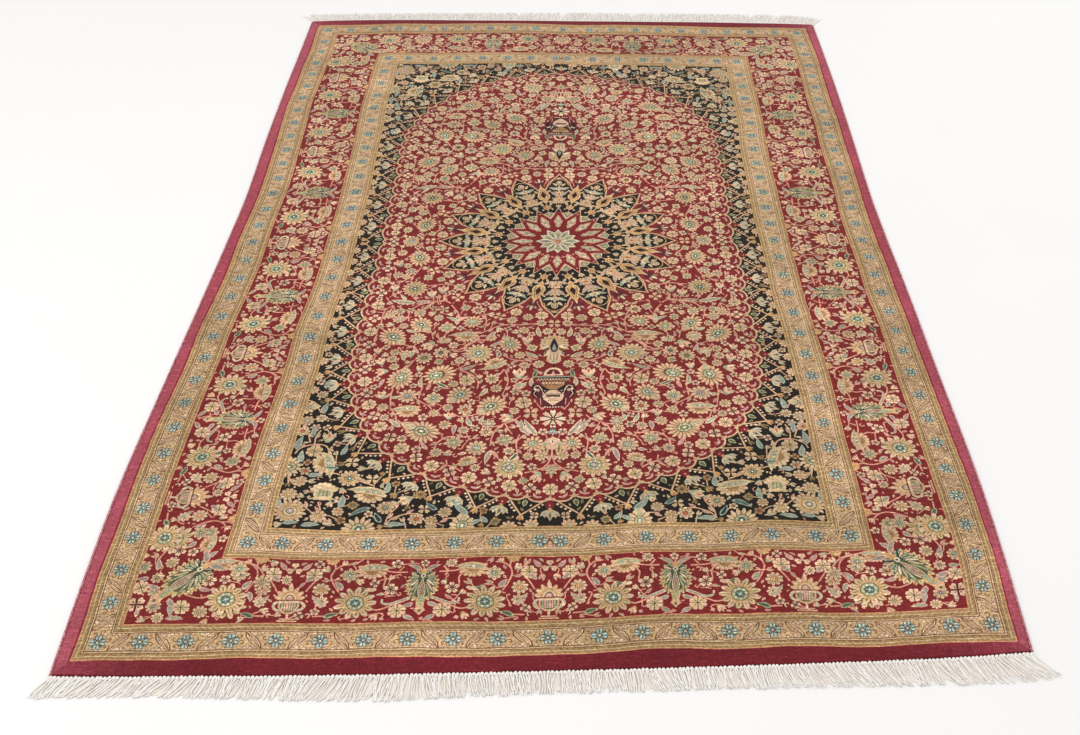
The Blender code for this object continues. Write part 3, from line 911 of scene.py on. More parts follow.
def side_flower(art, x, y, r, n=15, angle=0.0, off=0.18, tail=0.0, heart="green", petal_dye="apricot"):
    """A palmette seen from above: petals all round a heart that sits off its middle, with an optional leafy tail."""
    art.lot()
    ux, uy = math.cos(angle), math.sin(angle)
    if tail > 0:
        for s in (-1, 1):
            side = np.array([(-0.1, 0.10 * s), (0.5, 0.52 * s), (0.9, 0.46 * s), (1.0 + tail * 0.5, 0.26 * s), (1.0 + tail, 0.0), (0.8, 0.0)]) * r
            art.put(turned(side, angle, x, y), petal_dye)
    r *= 1.05
    art.disc(x, y, 0.86 * r, "umber", n=12)
    for k in range(n):
        a = angle + (k + 0.5) * TAU / n
        reach = r * (1.0 + 0.09 * math.cos(2 * (a - angle)))
        half = 0.80 * r * math.pi / n * 0.80
        art.put(turned(petal(0.36 * r, reach, half, 0.5), a, x, y), petal_dye)
        art.put(turned(slim_petal(0.54 * r, 0.96 * reach, half * 0.55), a, x, y), "peach")
    cx, cy = x + ux * off * r, y + uy * off * r
    if tail > 0:
        blade = np.array([(-0.25, 0), (0.1, -0.20), (0.62, -0.17), (1.0 + tail * 0.72, 0), (0.62, 0.17), (0.1, 0.20)]) * r
        art.put(turned(blade, angle, x, y), "sage")
        art.put(turned(blade * (0.8, 0.5), angle, x + 0.05 * r * ux, y + 0.05 * r * uy), "cream")
    art.put(turned(ring_of(11, 0.46 * r) * (1.12, 0.9), angle, cx, cy), "moss")
    art.put(turned(ring_of(11, 0.40 * r) * (1.12, 0.9), angle, cx, cy), "sage")
    for k in range(7):
        a = angle + k * TAU / 7
        art.put(turned(slim_petal(0.14 * r, 0.39 * r, 0.070 * r), a, cx, cy), "cream")
    art.put(turned(ring_of(9, 0.25 * r) * (1.2, 0.85), angle, cx, cy), "green")
    art.put(turned(ring_of(8, 0.19 * r) * (1.2, 0.85), angle, cx, cy), heart)
    art.put(turned(ring_of(6, 0.10 * r) * (1.3, 0.8), angle, cx, cy), "white")


def x_flower(art, x, y, r, angle=math.pi / 4):
    """Four heart-shaped petals on the diagonals with small leaves between."""
    art.lot()
    for k in range(4):
        a = angle + k * TAU / 4
        art.put(turned([(0.10 * r, 0), (0.62 * r, -0.36 * r), (1.0 * r, -0.24 * r), (0.88 * r, 0), (1.0 * r, 0.24 * r), (0.62 * r, 0.36 * r)], a, x, y), "apricot")
        art.put(turned(slim_petal(0.34 * r, 0.80 * r, 0.13 * r), a, x, y), "peach")
    for k in range(4):
        art.put(turned(slim_petal(0.05 * r, 0.50 * r, 0.07 * r), angle + (k + 0.5) * TAU / 4, x, y), "brown")
    art.disc(x, y, 0.14 * r, "brown", n=6)


def fan_flower(art, x, y, size, angle):
    """A crown of petals on a stem, from its foot at (x, y)."""
    art.lot()
    turn = angle - math.pi / 2
    for i in range(5):
        a = math.radians(90 + (i - 2) * 27)
        reach = size * (0.98 if i == 2 else 0.82 if i in (1, 3) else 0.66)
        art.put(turned(turned(petal(0.16 * size, reach, 0.145 * size, 0.4), a), turn, x, y), "apricot")
        art.put(turned(turned(slim_petal(0.24 * size, reach * 0.86, 0.05 * size), a), turn, x, y), "moss" if i % 2 == 0 else "peach")
    art.put(turned([(-0.20 * size, 0.10 * size), (0.20 * size, 0.10 * size), (0.10 * size, 0.36 * size), (-0.10 * size, 0.36 * size)], turn, x, y), "sage")


def dot(art, x, y, r=0.0018, dye="cream"):
    art.put([(x - r, y), (x, y - r), (x + r, y), (x, y + r)], dye)


# ---- the scalloped edge between the red field and the dark corners -------------------------------------------------

EDGE_FLOWERS = (  # cross-lined rosettes along it, from the end's middle round to the side's
    (0.0, 0.7310),
    (0.0705, 0.7195),
    (0.1375, 0.6990),
    (0.2014, 0.6685),
    (0.2550, 0.6260),
    (0.2985, 0.5720),
    (0.3285, 0.5135),
    (0.3475, 0.4500),
    (0.3550, 0.3825),
    (0.3560, 0.3035),
    (0.3560, 0.2214),
    (0.3560, 0.1405),
    (0.3560, 0.0560),
    (0.3560, -0.0400),
)


def edge_frames():
    """For each half span of the edge: its start, middle line direction and length, as (s0, s1) on one smooth curve."""
    line = curve([(-0.0705, 0.7195)] + list(EDGE_FLOWERS) + [(0.359, -0.135)], 0.004)
    far = arc_lengths(line)
    stops = []
    for p in EDGE_FLOWERS:
        stops.append(far[np.argmin(((line - np.array(p)) ** 2).sum(1))])
    return line, far, stops


def edge_place(line, far, s, n):
    x = np.interp(s, far, line[:, 0])
    y = np.interp(s, far, line[:, 1])
    ax, ay = np.interp(s - 0.012, far, line[:, 0]), np.interp(s - 0.012, far, line[:, 1])
    bx, by = np.interp(s + 0.012, far, line[:, 0]), np.interp(s + 0.012, far, line[:, 1])
    dx, dy = bx - ax, by - ay
    d = math.hypot(dx, dy)
    return x - dy / d * n, y + dx / d * n, math.atan2(dy, dx)


def scalloped_field(art):
    line, far, stops = edge_frames()
    outline = []
    for k in range(len(stops) - 1):
        s0, s1 = stops[k], stops[k + 1]
        for half in (0, 1):
            for u in np.linspace(0, 1, 9)[:-1]:
                v = u if half == 0 else u
                base = 0.0195 + (0.0165 - 0.0195) * (v if half == 0 else 1 - v)
                n = base + 0.0100 * math.sin(math.pi * v) ** 0.62
                s = s0 + (s1 - s0) * (half * 0.5 + v * 0.5)
                x, y, _ = edge_place(line, far, s, n)
                outline.append((x, y))
    outline = np.array(outline)
    keep = outline[outline[:, 1] > -0.03]
    art.put(np.vstack([[(-0.03, -0.03)], [(-0.03, outline[0, 1])], keep, [(keep[-1, 0], -0.03)]]), "field_red")
    for k in range(len(stops)):
        s = stops[k]
        before = s - (stops[k - 1] if k else stops[0] - (stops[1] - stops[0]))
        after = (stops[k + 1] - s) if k + 1 < len(stops) else before
        # the gold lattice on the dark side, with beads along it
        for way, gap in ((-1, before), (1, after)):
            a = edge_place(line, far, s, 0.018)
            b = edge_place(line, far, s + way * gap / 2, 0.060)
            art.ribbon([a[:2], b[:2]], 0.0028, "apricot")
            for f in (0.30, 0.46, 0.62, 0.78):
                x, y = a[0] + (b[0] - a[0]) * f, a[1] + (b[1] - a[1]) * f
                ox, oy, _ = edge_place(line, far, s, 0.060)
                d = math.hypot(ox - x, oy - y)
                dot(art, x + (ox - x) / d * 0.0052, y + (oy - y) / d * 0.0052, 0.0027, "peach")
        # red pocket and the cup-shaped flower above it
        x, y, t = edge_place(line, far, s, 0.036)
        art.lot()
        art.put(turned([(0, -0.0145), (0.0085, -0.003), (0.0050, 0.0065), (-0.0050, 0.0065), (-0.0085, -0.003)], t, x, y), "field_red")
        dot(art, x, y, 0.0020, "salmon")
        x, y, t = edge_place(line, far, s, 0.0415)
        fleur(art, x, y, 0.030, t + math.pi / 2, edge="buff", fill="slate", cup="gold", blush="sky")
        # crescents inside the lobes, and the leaf and small flower in the dark cell
        for way, gap in ((-1, before), (1, after)):
            x, y, t = edge_place(line, far, s + way * gap * 0.25, 0.0110)
            crescent(art, x, y, 0.019, t - math.pi / 2 - way * 0.45)
        x, y, t = edge_place(line, far, s + after / 2, 0.0255)
        leaf(art, x, y, 0.0165, 0.0095, t + math.pi / 2, bend=0.0, edge="sage", fill="moss", n=6)
        x, y, t = edge_place(line, far, s + after / 2, 0.0585)
        bud(art, x, y, 0.015, t + math.pi / 2, "gold", "gold")
        x, y, t = edge_place(line, far, s + after / 2, -0.0015)
        blossom(art, x, y, 0.0118, n=4, angle=t)
        x, y, t = edge_place(line, far, s, -0.0005)
        lattice_rosette(art, x, y, 0.0128, angle=t)
    art.ribbon(outline, 0.0036, "apricot")
    art.ribbon(outline, 0.0013, "peach")
    for k in range(len(stops)):  # short gold hooks that stand on each cusp
        for at, n0 in ((stops[k], 0.0185), (stops[k] + ((stops[k + 1] - stops[k]) / 2 if k + 1 < len(stops) else 0.04), 0.0155)):
            x, y, t = edge_place(line, far, at, n0)
            art.put(turned([(-0.0090, 0.0012), (-0.0026, 0.0012), (0, -0.0084), (0.0026, 0.0012), (0.0090, 0.0012), (0, 0.0072)], t, x, y), "apricot")


# ---- the central medallion ---------------------------------------------------------------------------------------

TIPS = 16


def medallion_tip(a):
    return 0.2530 + 0.0105 * abs(math.sin(a)) ** 1.4


def polar(r, a):
    return r * math.cos(a), r * math.sin(a)


def medallion(art):
    step = TAU / TIPS
    angles = [k * step for k in range(-1, 6)]
    # what lies just outside it
    for a in angles:
        tip = medallion_tip(a)
        x_flower(art, *polar(tip + 0.0205, a), 0.0135, a + math.pi / 4)
        for s in (-1, 1):
            x, y = polar(tip - 0.003, a + s * 0.094)
            lattice_rosette(art, x, y, 0.0120, angle=a)
        v = a + step / 2
        art.put(turned([(-0.026, 0), (-0.004, -0.0125), (0.017, 0), (-0.004, 0.0125)], v, *polar(0.2330, v)), "plum")
        leaf(art, *polar(0.2290, v), 0.022, 0.0090, v, bend=0.0, edge="umber", fill="cream", n=6)
        for s in (-1, 1):
            leaf(art, *polar(0.2300, v + s * 0.016), 0.016, 0.0062, v + s * 0.62, bend=0.1 * s, edge="umber", fill="mauve", n=5)
    # petals of the star: a peach line, then dark ground
    for grow, dye in ((0.0020, "apricot"), (-0.0008, "navy")):
        for a in angles:
            tip = medallion_tip(a)
            side = [(0.0900, 0.190), (0.0740, 0.176), (0.0600, 0.148), (0.0480, 0.122), (0.0360, 0.104), (0.0260, 0.074), (0.0160, 0.040), (0.0080, 0.016)]
            left = [polar(tip - d + grow * 0.6, -b - grow / (tip - d)) for d, b in side]
            right = [polar(tip - d + grow * 0.6, b + grow / (tip - d)) for d, b in side]
            shape = [polar(0.09, -0.197)] + left + [polar(tip + grow * 2.2, 0)] + right[::-1] + [polar(0.09, 0.197)]
            art.put(turned(shape, a), dye)
    for a in angles:  # the rounded second line inside each tip
        tip = medallion_tip(a)
        bow = [polar(tip - 0.0440, -0.098), polar(tip - 0.0320, -0.082), polar(tip - 0.0225, -0.046), polar(tip - 0.0195, 0.0), polar(tip - 0.0225, 0.046), polar(tip - 0.0320, 0.082), polar(tip - 0.0440, 0.098)]
        art.ribbon(turned(bow, a), 0.0019, "gold")
    # pendants in the valleys
    for a in angles:
        v = a + step / 2
        art.lot()
        art.placed(0, 0, v)
        body = [(0.147, 0), (0.155, -0.0060), (0.161, -0.0056), (0.167, -0.0124), (0.177, -0.0146), (0.188, -0.0116), (0.198, -0.0070), (0.205, -0.0076), (0.211, -0.0034), (0.226, 0.0)]
        full = body + [(x, -y) for x, y in body[1:-1]][::-1]
        art.put(turned(full, 0, -0.0110, 0, 1.062), "navy")
        art.put(full, "wheat")
        art.put(turned(full, 0, 0.0235, 0, 0.87), "gold")
        for s in (-1, 1):
            leaf(art, 0.157, s * 0.006, 0.019, 0.0075, s * 2.1, bend=-0.2 * s, edge="wheat", fill="salmon", n=5)
            leaf(art, 0.190, s * 0.009, 0.015, 0.0060, s * 0.75, bend=-0.1 * s, edge="wheat", fill="gold", n=5)
            art.ribbon([(0.170, s * 0.0085), (0.182, s * 0.0088), (0.194, s * 0.0040), (0.204, s * 0.0030)], 0.0013, "umber")
        art.put([(0.167, 0), (0.180, -0.0068), (0.198, 0), (0.180, 0.0068)], "brown")
        art.put([(0.170, 0), (0.180, -0.0048), (0.193, 0), (0.180, 0.0048)], "ink")
        art.home()
        x, y = polar(0.1310, v)
        petals(art, x, y, 6, 0.001, 0.0098, 0.0037, "gold", v, 0.6)
        art.disc(x, y, 0.0042, "umber", n=6)
        art.disc(x, y, 0.0026, "peach", n=6)
        for s in (-1, 1):
            leaf(art, *polar(0.1380, v + s * 0.052), 0.0150, 0.0062, v + s * 0.62, bend=0.2 * s, edge="wheat", fill="sage", n=5)
            dot(art, *polar(0.1660, v + s * 0.112), 0.0026, "peach")
            dot(art, *polar(0.1230, v + s * 0.086), 0.0026, "cream")
    # inside the petals
    start = len(art.shapes)
    for i, a in enumerate(angles):
        art.lot()
        tip = medallion_tip(a)
        for s in (-1, 1):
            leaf(art, *polar(0.1440, a + s * 0.030), 0.0200, 0.0078, a + s * 0.55, bend=0.15 * s, edge="wheat", fill="slate", n=6)
            leaf(art, *polar(tip - 0.0860, a + s * 0.040), 0.0215, 0.0086, a + s * 0.50, bend=-0.2 * s, edge="cream", fill="mauve", n=6)
            leaf(art, *polar(tip - 0.0640, a + s * 0.030), 0.0200, 0.0086, a + s * 0.72, bend=-0.35 * s, edge="sky", fill="sage", n=6)
            leaf(art, *polar(tip - 0.0480, a + s * 0.028), 0.0150, 0.0066, a + s * 0.45, bend=-0.25 * s, edge="peach", fill="pink", n=5)
        star_flower(art, *polar(0.1590, a), 0.0130, n=8, angle=a, leaf="peach", heart="rust", dark="gold")
        palmette(art, *polar(tip - 0.0910, a), 0.031, 0.024, a, k=7, leafage="peach", ground="umber", heart="cream", core="rust", tips="cream")
        fleur(art, *polar(tip - 0.0680, a), 0.022, a, edge="cream", fill="sky", cup="rust")
        x, y = polar(tip - 0.0360, a)
        art.put(turned(ring_of(9, 0.0084) * (1.15, 0.82), a, x, y), "cream")
        art.put(turned(ring_of(9, 0.0060) * (1.15, 0.78), a, x, y), "brown")
        art.put(turned(ring_of(7, 0.0042) * (1.2, 0.8), a, x, y), "wheat")
        dot(art, x, y, 0.0018, "umber")
        bud(art, *polar(0.1270, a), 0.0155, a, "peach", "sage")
    art.shapes[start:] = buffed(art.shapes[start:])
    # the red star and what is on it
    star = []
    for k in range(-2, 7):
        a = k * step
        tip = 0.1180 + 0.007 * abs(math.sin(a)) ** 2
        star += [polar(0.0850, a - step / 2), polar(0.0950, a - step * 0.29), polar(tip * 0.93, a - step * 0.090), polar(tip, a), polar(tip * 0.93, a + step * 0.090), polar(0.0950, a + step * 0.29)]
    star = np.array(star)
    for k in range(-1, 6):  # pale triangles between the star's points
        v = (k + 0.5) * step
        art.put(turned([(0.088, 0), (0.1060, -0.0125), (0.1130, 0), (0.1060, 0.0125)], v), "peach")
        art.put(turned([(0.092, 0), (0.1060, -0.0092), (0.1105, 0), (0.1060, 0.0092)], v), "moss")
        art.put(turned([(0.096, 0), (0.1055, -0.0060), (0.1085, 0), (0.1055, 0.0060)], v), "sage")
    art.put(np.vstack([star * 1.030, [(0, 0)]]), "peach")
    art.put(np.vstack([star, [(0, 0)]]), "field_red")
    for k in range(-1, 6):  # one small plant on every axis, with red between
        a = k * step
        v = a + step / 2
        art.lot()
        plant = [(0.0515, 0), (0.0560, 0.0040), (0.0600, 0.0066), (0.0640, 0.0052), (0.0690, 0.0084), (0.0790, 0.0098), (0.0800, 0.0066), (0.0870, 0.0060), (0.0905, 0.0040), (0.1000, 0)]
        for size, dye in ((1.0, "salmon"), (0.80, "sage")):
            half = [(0.0750 + (r - 0.0750) * (0.5 + 0.5 * size), y * size - (0.0006 if size < 1 else 0)) for r, y in plant[1:-1]]
            ends = [0.0750 + (r - 0.0750) * (0.5 + 0.5 * size) for r in (0.0515, 0.1000)]
            art.put(turned([(ends[0], 0)] + half + [(ends[1], 0)] + [(r, -y) for r, y in half[::-1]], a), dye)
        for s in (-1, 1):
            art.put(turned([(0.0665, s * 0.0020), (0.0725, s * 0.0066), (0.0770, s * 0.0070), (0.0740, s * 0.0026)], a), "mauve" if s > 0 else "pink")
            dot(art, *turned([(0.0640, s * 0.0022)], a)[0], 0.0012, "rust")
            dot(art, *turned([(0.0850, s * 0.0022)], a)[0], 0.0011, "rust")
        art.put(turned([(0.0570, 0), (0.0660, -0.0022), (0.0740, 0), (0.0660, 0.0022)], a), "cream")
        art.put(turned([(0.0745, 0), (0.0820, -0.0026), (0.0930, 0), (0.0820, 0.0026)], a), "cream")
        art.put(turned([(0.0725, 0), (0.0750, -0.0020), (0.0775, 0), (0.0750, 0.0020)], a), "moss")
        dot(art, *polar(0.1090, a), 0.0022, "salmon")
        x, y = polar(0.0590, v)
        petals(art, x, y, 4, 0.001, 0.0036, 0.0015, "salmon", v)
        dot(art, *polar(0.0860, v), 0.0018, "salmon")
        dot(art, *polar(0.0720, v), 0.0012, "pink")
    for k in range(-1, 5):  # the pale star in the middle, of twelve petals
        if k % 2:
            a = k * TAU / 12
            art.put(turned(petal(0.004, 0.0440, 0.0092, 0.20), a), "cream")
            art.put(turned(slim_petal(0.010, 0.0395, 0.0062), a), "sage")
            art.put(turned(slim_petal(0.012, 0.0310, 0.0014), a), "moss")
    for k in range(-1, 5):
        if k % 2 == 0:
            a = k * TAU / 12
            art.put(turned(petal(0.004, 0.0490, 0.0100, 0.20), a), "umber")
            art.put(turned(petal(0.004, 0.0475, 0.0090, 0.20), a), "cream")
            art.put(turned(slim_petal(0.010, 0.0420, 0.0058), a), "slate")
            art.put(turned(slim_petal(0.012, 0.0320, 0.0014), a), "moss")
    petals(art, 0, 0, 12, 0.003, 0.0150, 0.0022, "mauve", TAU / 24, slim=True)
    art.disc(0, 0, 0.0062, "moss", n=12)
    art.disc(0, 0, 0.0046, "rust", n=9)
    art.disc(0, 0, 0.0022, "cream", n=7)


# ---- the vase and the pendant palmette on the long axis --------------------------------------------------------------


def long_vase(art):
    """Between the medallion and the end: a tall vase, its foot outwards. +Y is the way to the rug's end."""
    art.placed(0, 0.0, 0.0)
    art.lot()
    y = 0.414
    for s in (-1, 1):
        art.put([(0, y + 0.044), (0.036 * s, y + 0.046), (0.042 * s, y + 0.060), (0.038 * s, y + 0.074), (0.027 * s, y + 0.094), (0.021 * s, y + 0.111), (0, y + 0.112)], "plum")
    # dome
    dome = [(0.0175 * math.cos(a), y + 0.022 - 0.020 * math.sin(a)) for a in np.linspace(0, math.pi, 9)]
    art.put(dome + [(-0.0190, y + 0.025), (0.0190, y + 0.025)], "peach")
    dome = [(0.0130 * math.cos(a), y + 0.022 - 0.0145 * math.sin(a)) for a in np.linspace(0, math.pi, 7)]
    art.put(dome, "plum")
    art.put([(-0.004, y + 0.022), (0, y + 0.011), (0.004, y + 0.022)], "salmon")
    art.ribbon([(0, y - 0.010), (0, y + 0.003)], 0.0030, "ink")
    # rim, beads, neck
    art.rect(-0.031, y + 0.027, 0.031, y + 0.0300, "slate")
    art.rect(-0.030, y + 0.0300, 0.030, y + 0.0330, "ink")
    art.rect(-0.031, y + 0.0330, 0.031, y + 0.0410, "brown")
    for i in range(-5, 6):
        dot(art, i * 0.0054, y + 0.0355, 0.0021, "cream")
        dot(art, (i + 0.5) * 0.0054, y + 0.0392, 0.0015, "pink")
    body = [(-0.024, y + 0.042), (0.024, y + 0.042), (0.021, y + 0.052), (0.011, y + 0.062), (0.0055, y + 0.066), (-0.0055, y + 0.066), (-0.011, y + 0.062), (-0.021, y + 0.052)]
    art.put(body, "brown")
    art.put(turned(body, 0, 0, 0.10 * (y + 0.052), 0.90), "oldgold")
    for i in range(-3, 4):
        dot(art, i * 0.0060, y + 0.0465, 0.0024, "peach")
        if abs(i) < 3:
            dot(art, i * 0.0060, y + 0.0525, 0.0020, "brown")
    dot(art, 0, y + 0.058, 0.0034, "rust")
    bowl = [(-0.0060, y + 0.066), (0.0060, y + 0.066), (0.0145, y + 0.075), (0.0200, y + 0.081), (0.0165, y + 0.092), (0.0050, y + 0.104), (0, y + 0.108), (-0.0050, y + 0.104), (-0.0165, y + 0.092), (-0.0200, y + 0.081), (-0.0145, y + 0.075)]
    art.put(turned(bowl, 0, 0, -0.09 * (y + 0.087), 1.09), "ink")
    art.put(bowl, "peach")
    art.rect(-0.0125, y + 0.0800, 0.0125, y + 0.0850, "ink")
    art.rect(-0.0150, y + 0.0765, 0.0150, y + 0.0785, "brown")
    art.rect(-0.0130, y + 0.0880, 0.0130, y + 0.0895, "mauve")
    art.rect(-0.0090, y + 0.0935, 0.0090, y + 0.0950, "brown")
    for i in range(-3, 4):
        dot(art, i * 0.0048, y + 0.1125, 0.0020, "cream")
    for s in (-1, 1):
        handle = curve([(0.0175 * s, y + 0.077), (0.0205 * s, y + 0.064), (0.0275 * s, y + 0.053), (0.0345 * s, y + 0.058), (0.0320 * s, y + 0.067), (0.0345 * s, y + 0.076), (0.0290 * s, y + 0.086)], 0.004)
        art.ribbon(handle, 0.0072, "ink")
        art.ribbon(handle, 0.0026, "peach", taper=0.0012)
        art.disc(0.0275 * s, y + 0.0660, 0.0036, "peach", n=6)
        art.disc(0.0275 * s, y + 0.0660, 0.0016, "brown", n=5)
        art.ribbon([(0.0230 * s, y + 0.0885), (0.0210 * s, y + 0.1060)], 0.0016, "salmon")
        art.put([(0.0095 * s, y + 0.064), (0.0200 * s, y + 0.0545), (0.0190 * s, y + 0.074)], "ink")
        dot(art, 0.0330 * s, y + 0.063, 0.0034, "cream")
        dot(art, 0.0150 * s, y + 0.068, 0.0024, "slate")
    art.home()


def pendant_palmette(art):
    """On the long axis between the medallion and the vase."""
    art.lot()
    cy = 0.350
    art.put([(0.0255 * math.cos(a), cy + 0.0255 * math.sin(a)) for a in np.linspace(0, TAU, 14, endpoint=False)], "umber")
    for i in range(13):
        a = math.radians(-200 + i * 220 / 12)
        reach = 0.0300 if abs(i - 6) < 4 else 0.0270
        art.put(turned(petal(0.010, reach * 1.04, 0.0050, 0.5), a, 0, cy), "peach" if i % 2 else "wheat")
        art.put(turned(slim_petal(0.015, reach * 0.92, 0.0016), a, 0, cy), "olive")
    for s in (-1, 1):
        for y0, a in ((cy - 0.004, 40), (cy + 0.010, 62), (cy + 0.020, 76)):
            leaf(art, s * 0.004, y0, 0.030, 0.0090, math.radians(a if s == 1 else 180 - a), bend=0.1 * s, edge="apricot", fill="cream", n=5)
    art.put(turned(teardrop(0.056, 0.026, 14), 0, 0, cy - 0.030), "gold")
    art.put(turned(teardrop(0.050, 0.020, 14), math.pi, 0, cy + 0.025), "mauve")
    art.put(turned(teardrop(0.044, 0.0155, 12), math.pi, 0, cy + 0.021), "ink")
    art.put(turned(teardrop(0.022, 0.0085, 9), math.pi, 0, cy + 0.017), "slate")
    neck = [(-0.0125, cy + 0.022), (0.0125, cy + 0.022), (0.0095, cy + 0.040), (0.0120, cy + 0.050), (0.0, cy + 0.056), (-0.0120, cy + 0.050), (-0.0095, cy + 0.040)]
    art.put(neck, "peach")
    for x in (-0.006, 0.0, 0.006):
        art.rect(x - 0.0010, cy + 0.026, x + 0.0010, cy + 0.044, "olive")
    art.disc(0, cy + 0.047, 0.0036, "sage", n=6)
    for s in (-1, 1):
        art.disc(0.018 * s, cy + 0.024, 0.0040, "ink", n=6)
        art.disc(0.018 * s, cy + 0.024, 0.0018, "cream", n=5)
    art.ribbon([(0, cy - 0.036), (0, cy - 0.026)], 0.004, "peach")


def cross_rosette(art, x, y, r):
    art.lot()
    art.disc(x, y, 0.62 * r, "brown", n=10)
    for k in range(8):
        a = k * TAU / 8
        art.put(turned([(0.16 * r, 0), (0.62 * r, -0.20 * r), (r, -0.17 * r), (0.88 * r, 0), (r, 0.17 * r), (0.62 * r, 0.20 * r)], a, x, y), "peach" if k % 2 else "cream")
        art.put(turned(slim_petal(0.12 * r, 0.66 * r, 0.045 * r), a + TAU / 16, x, y), "ink")
    art.disc(x, y, 0.17 * r, "ink", n=8)
    art.disc(x, y, 0.09 * r, "apricot", n=6)


# ---- everything strewn over the field: kind, across, along (mm), size (mm), angle (degrees, plus turns to the end) --------

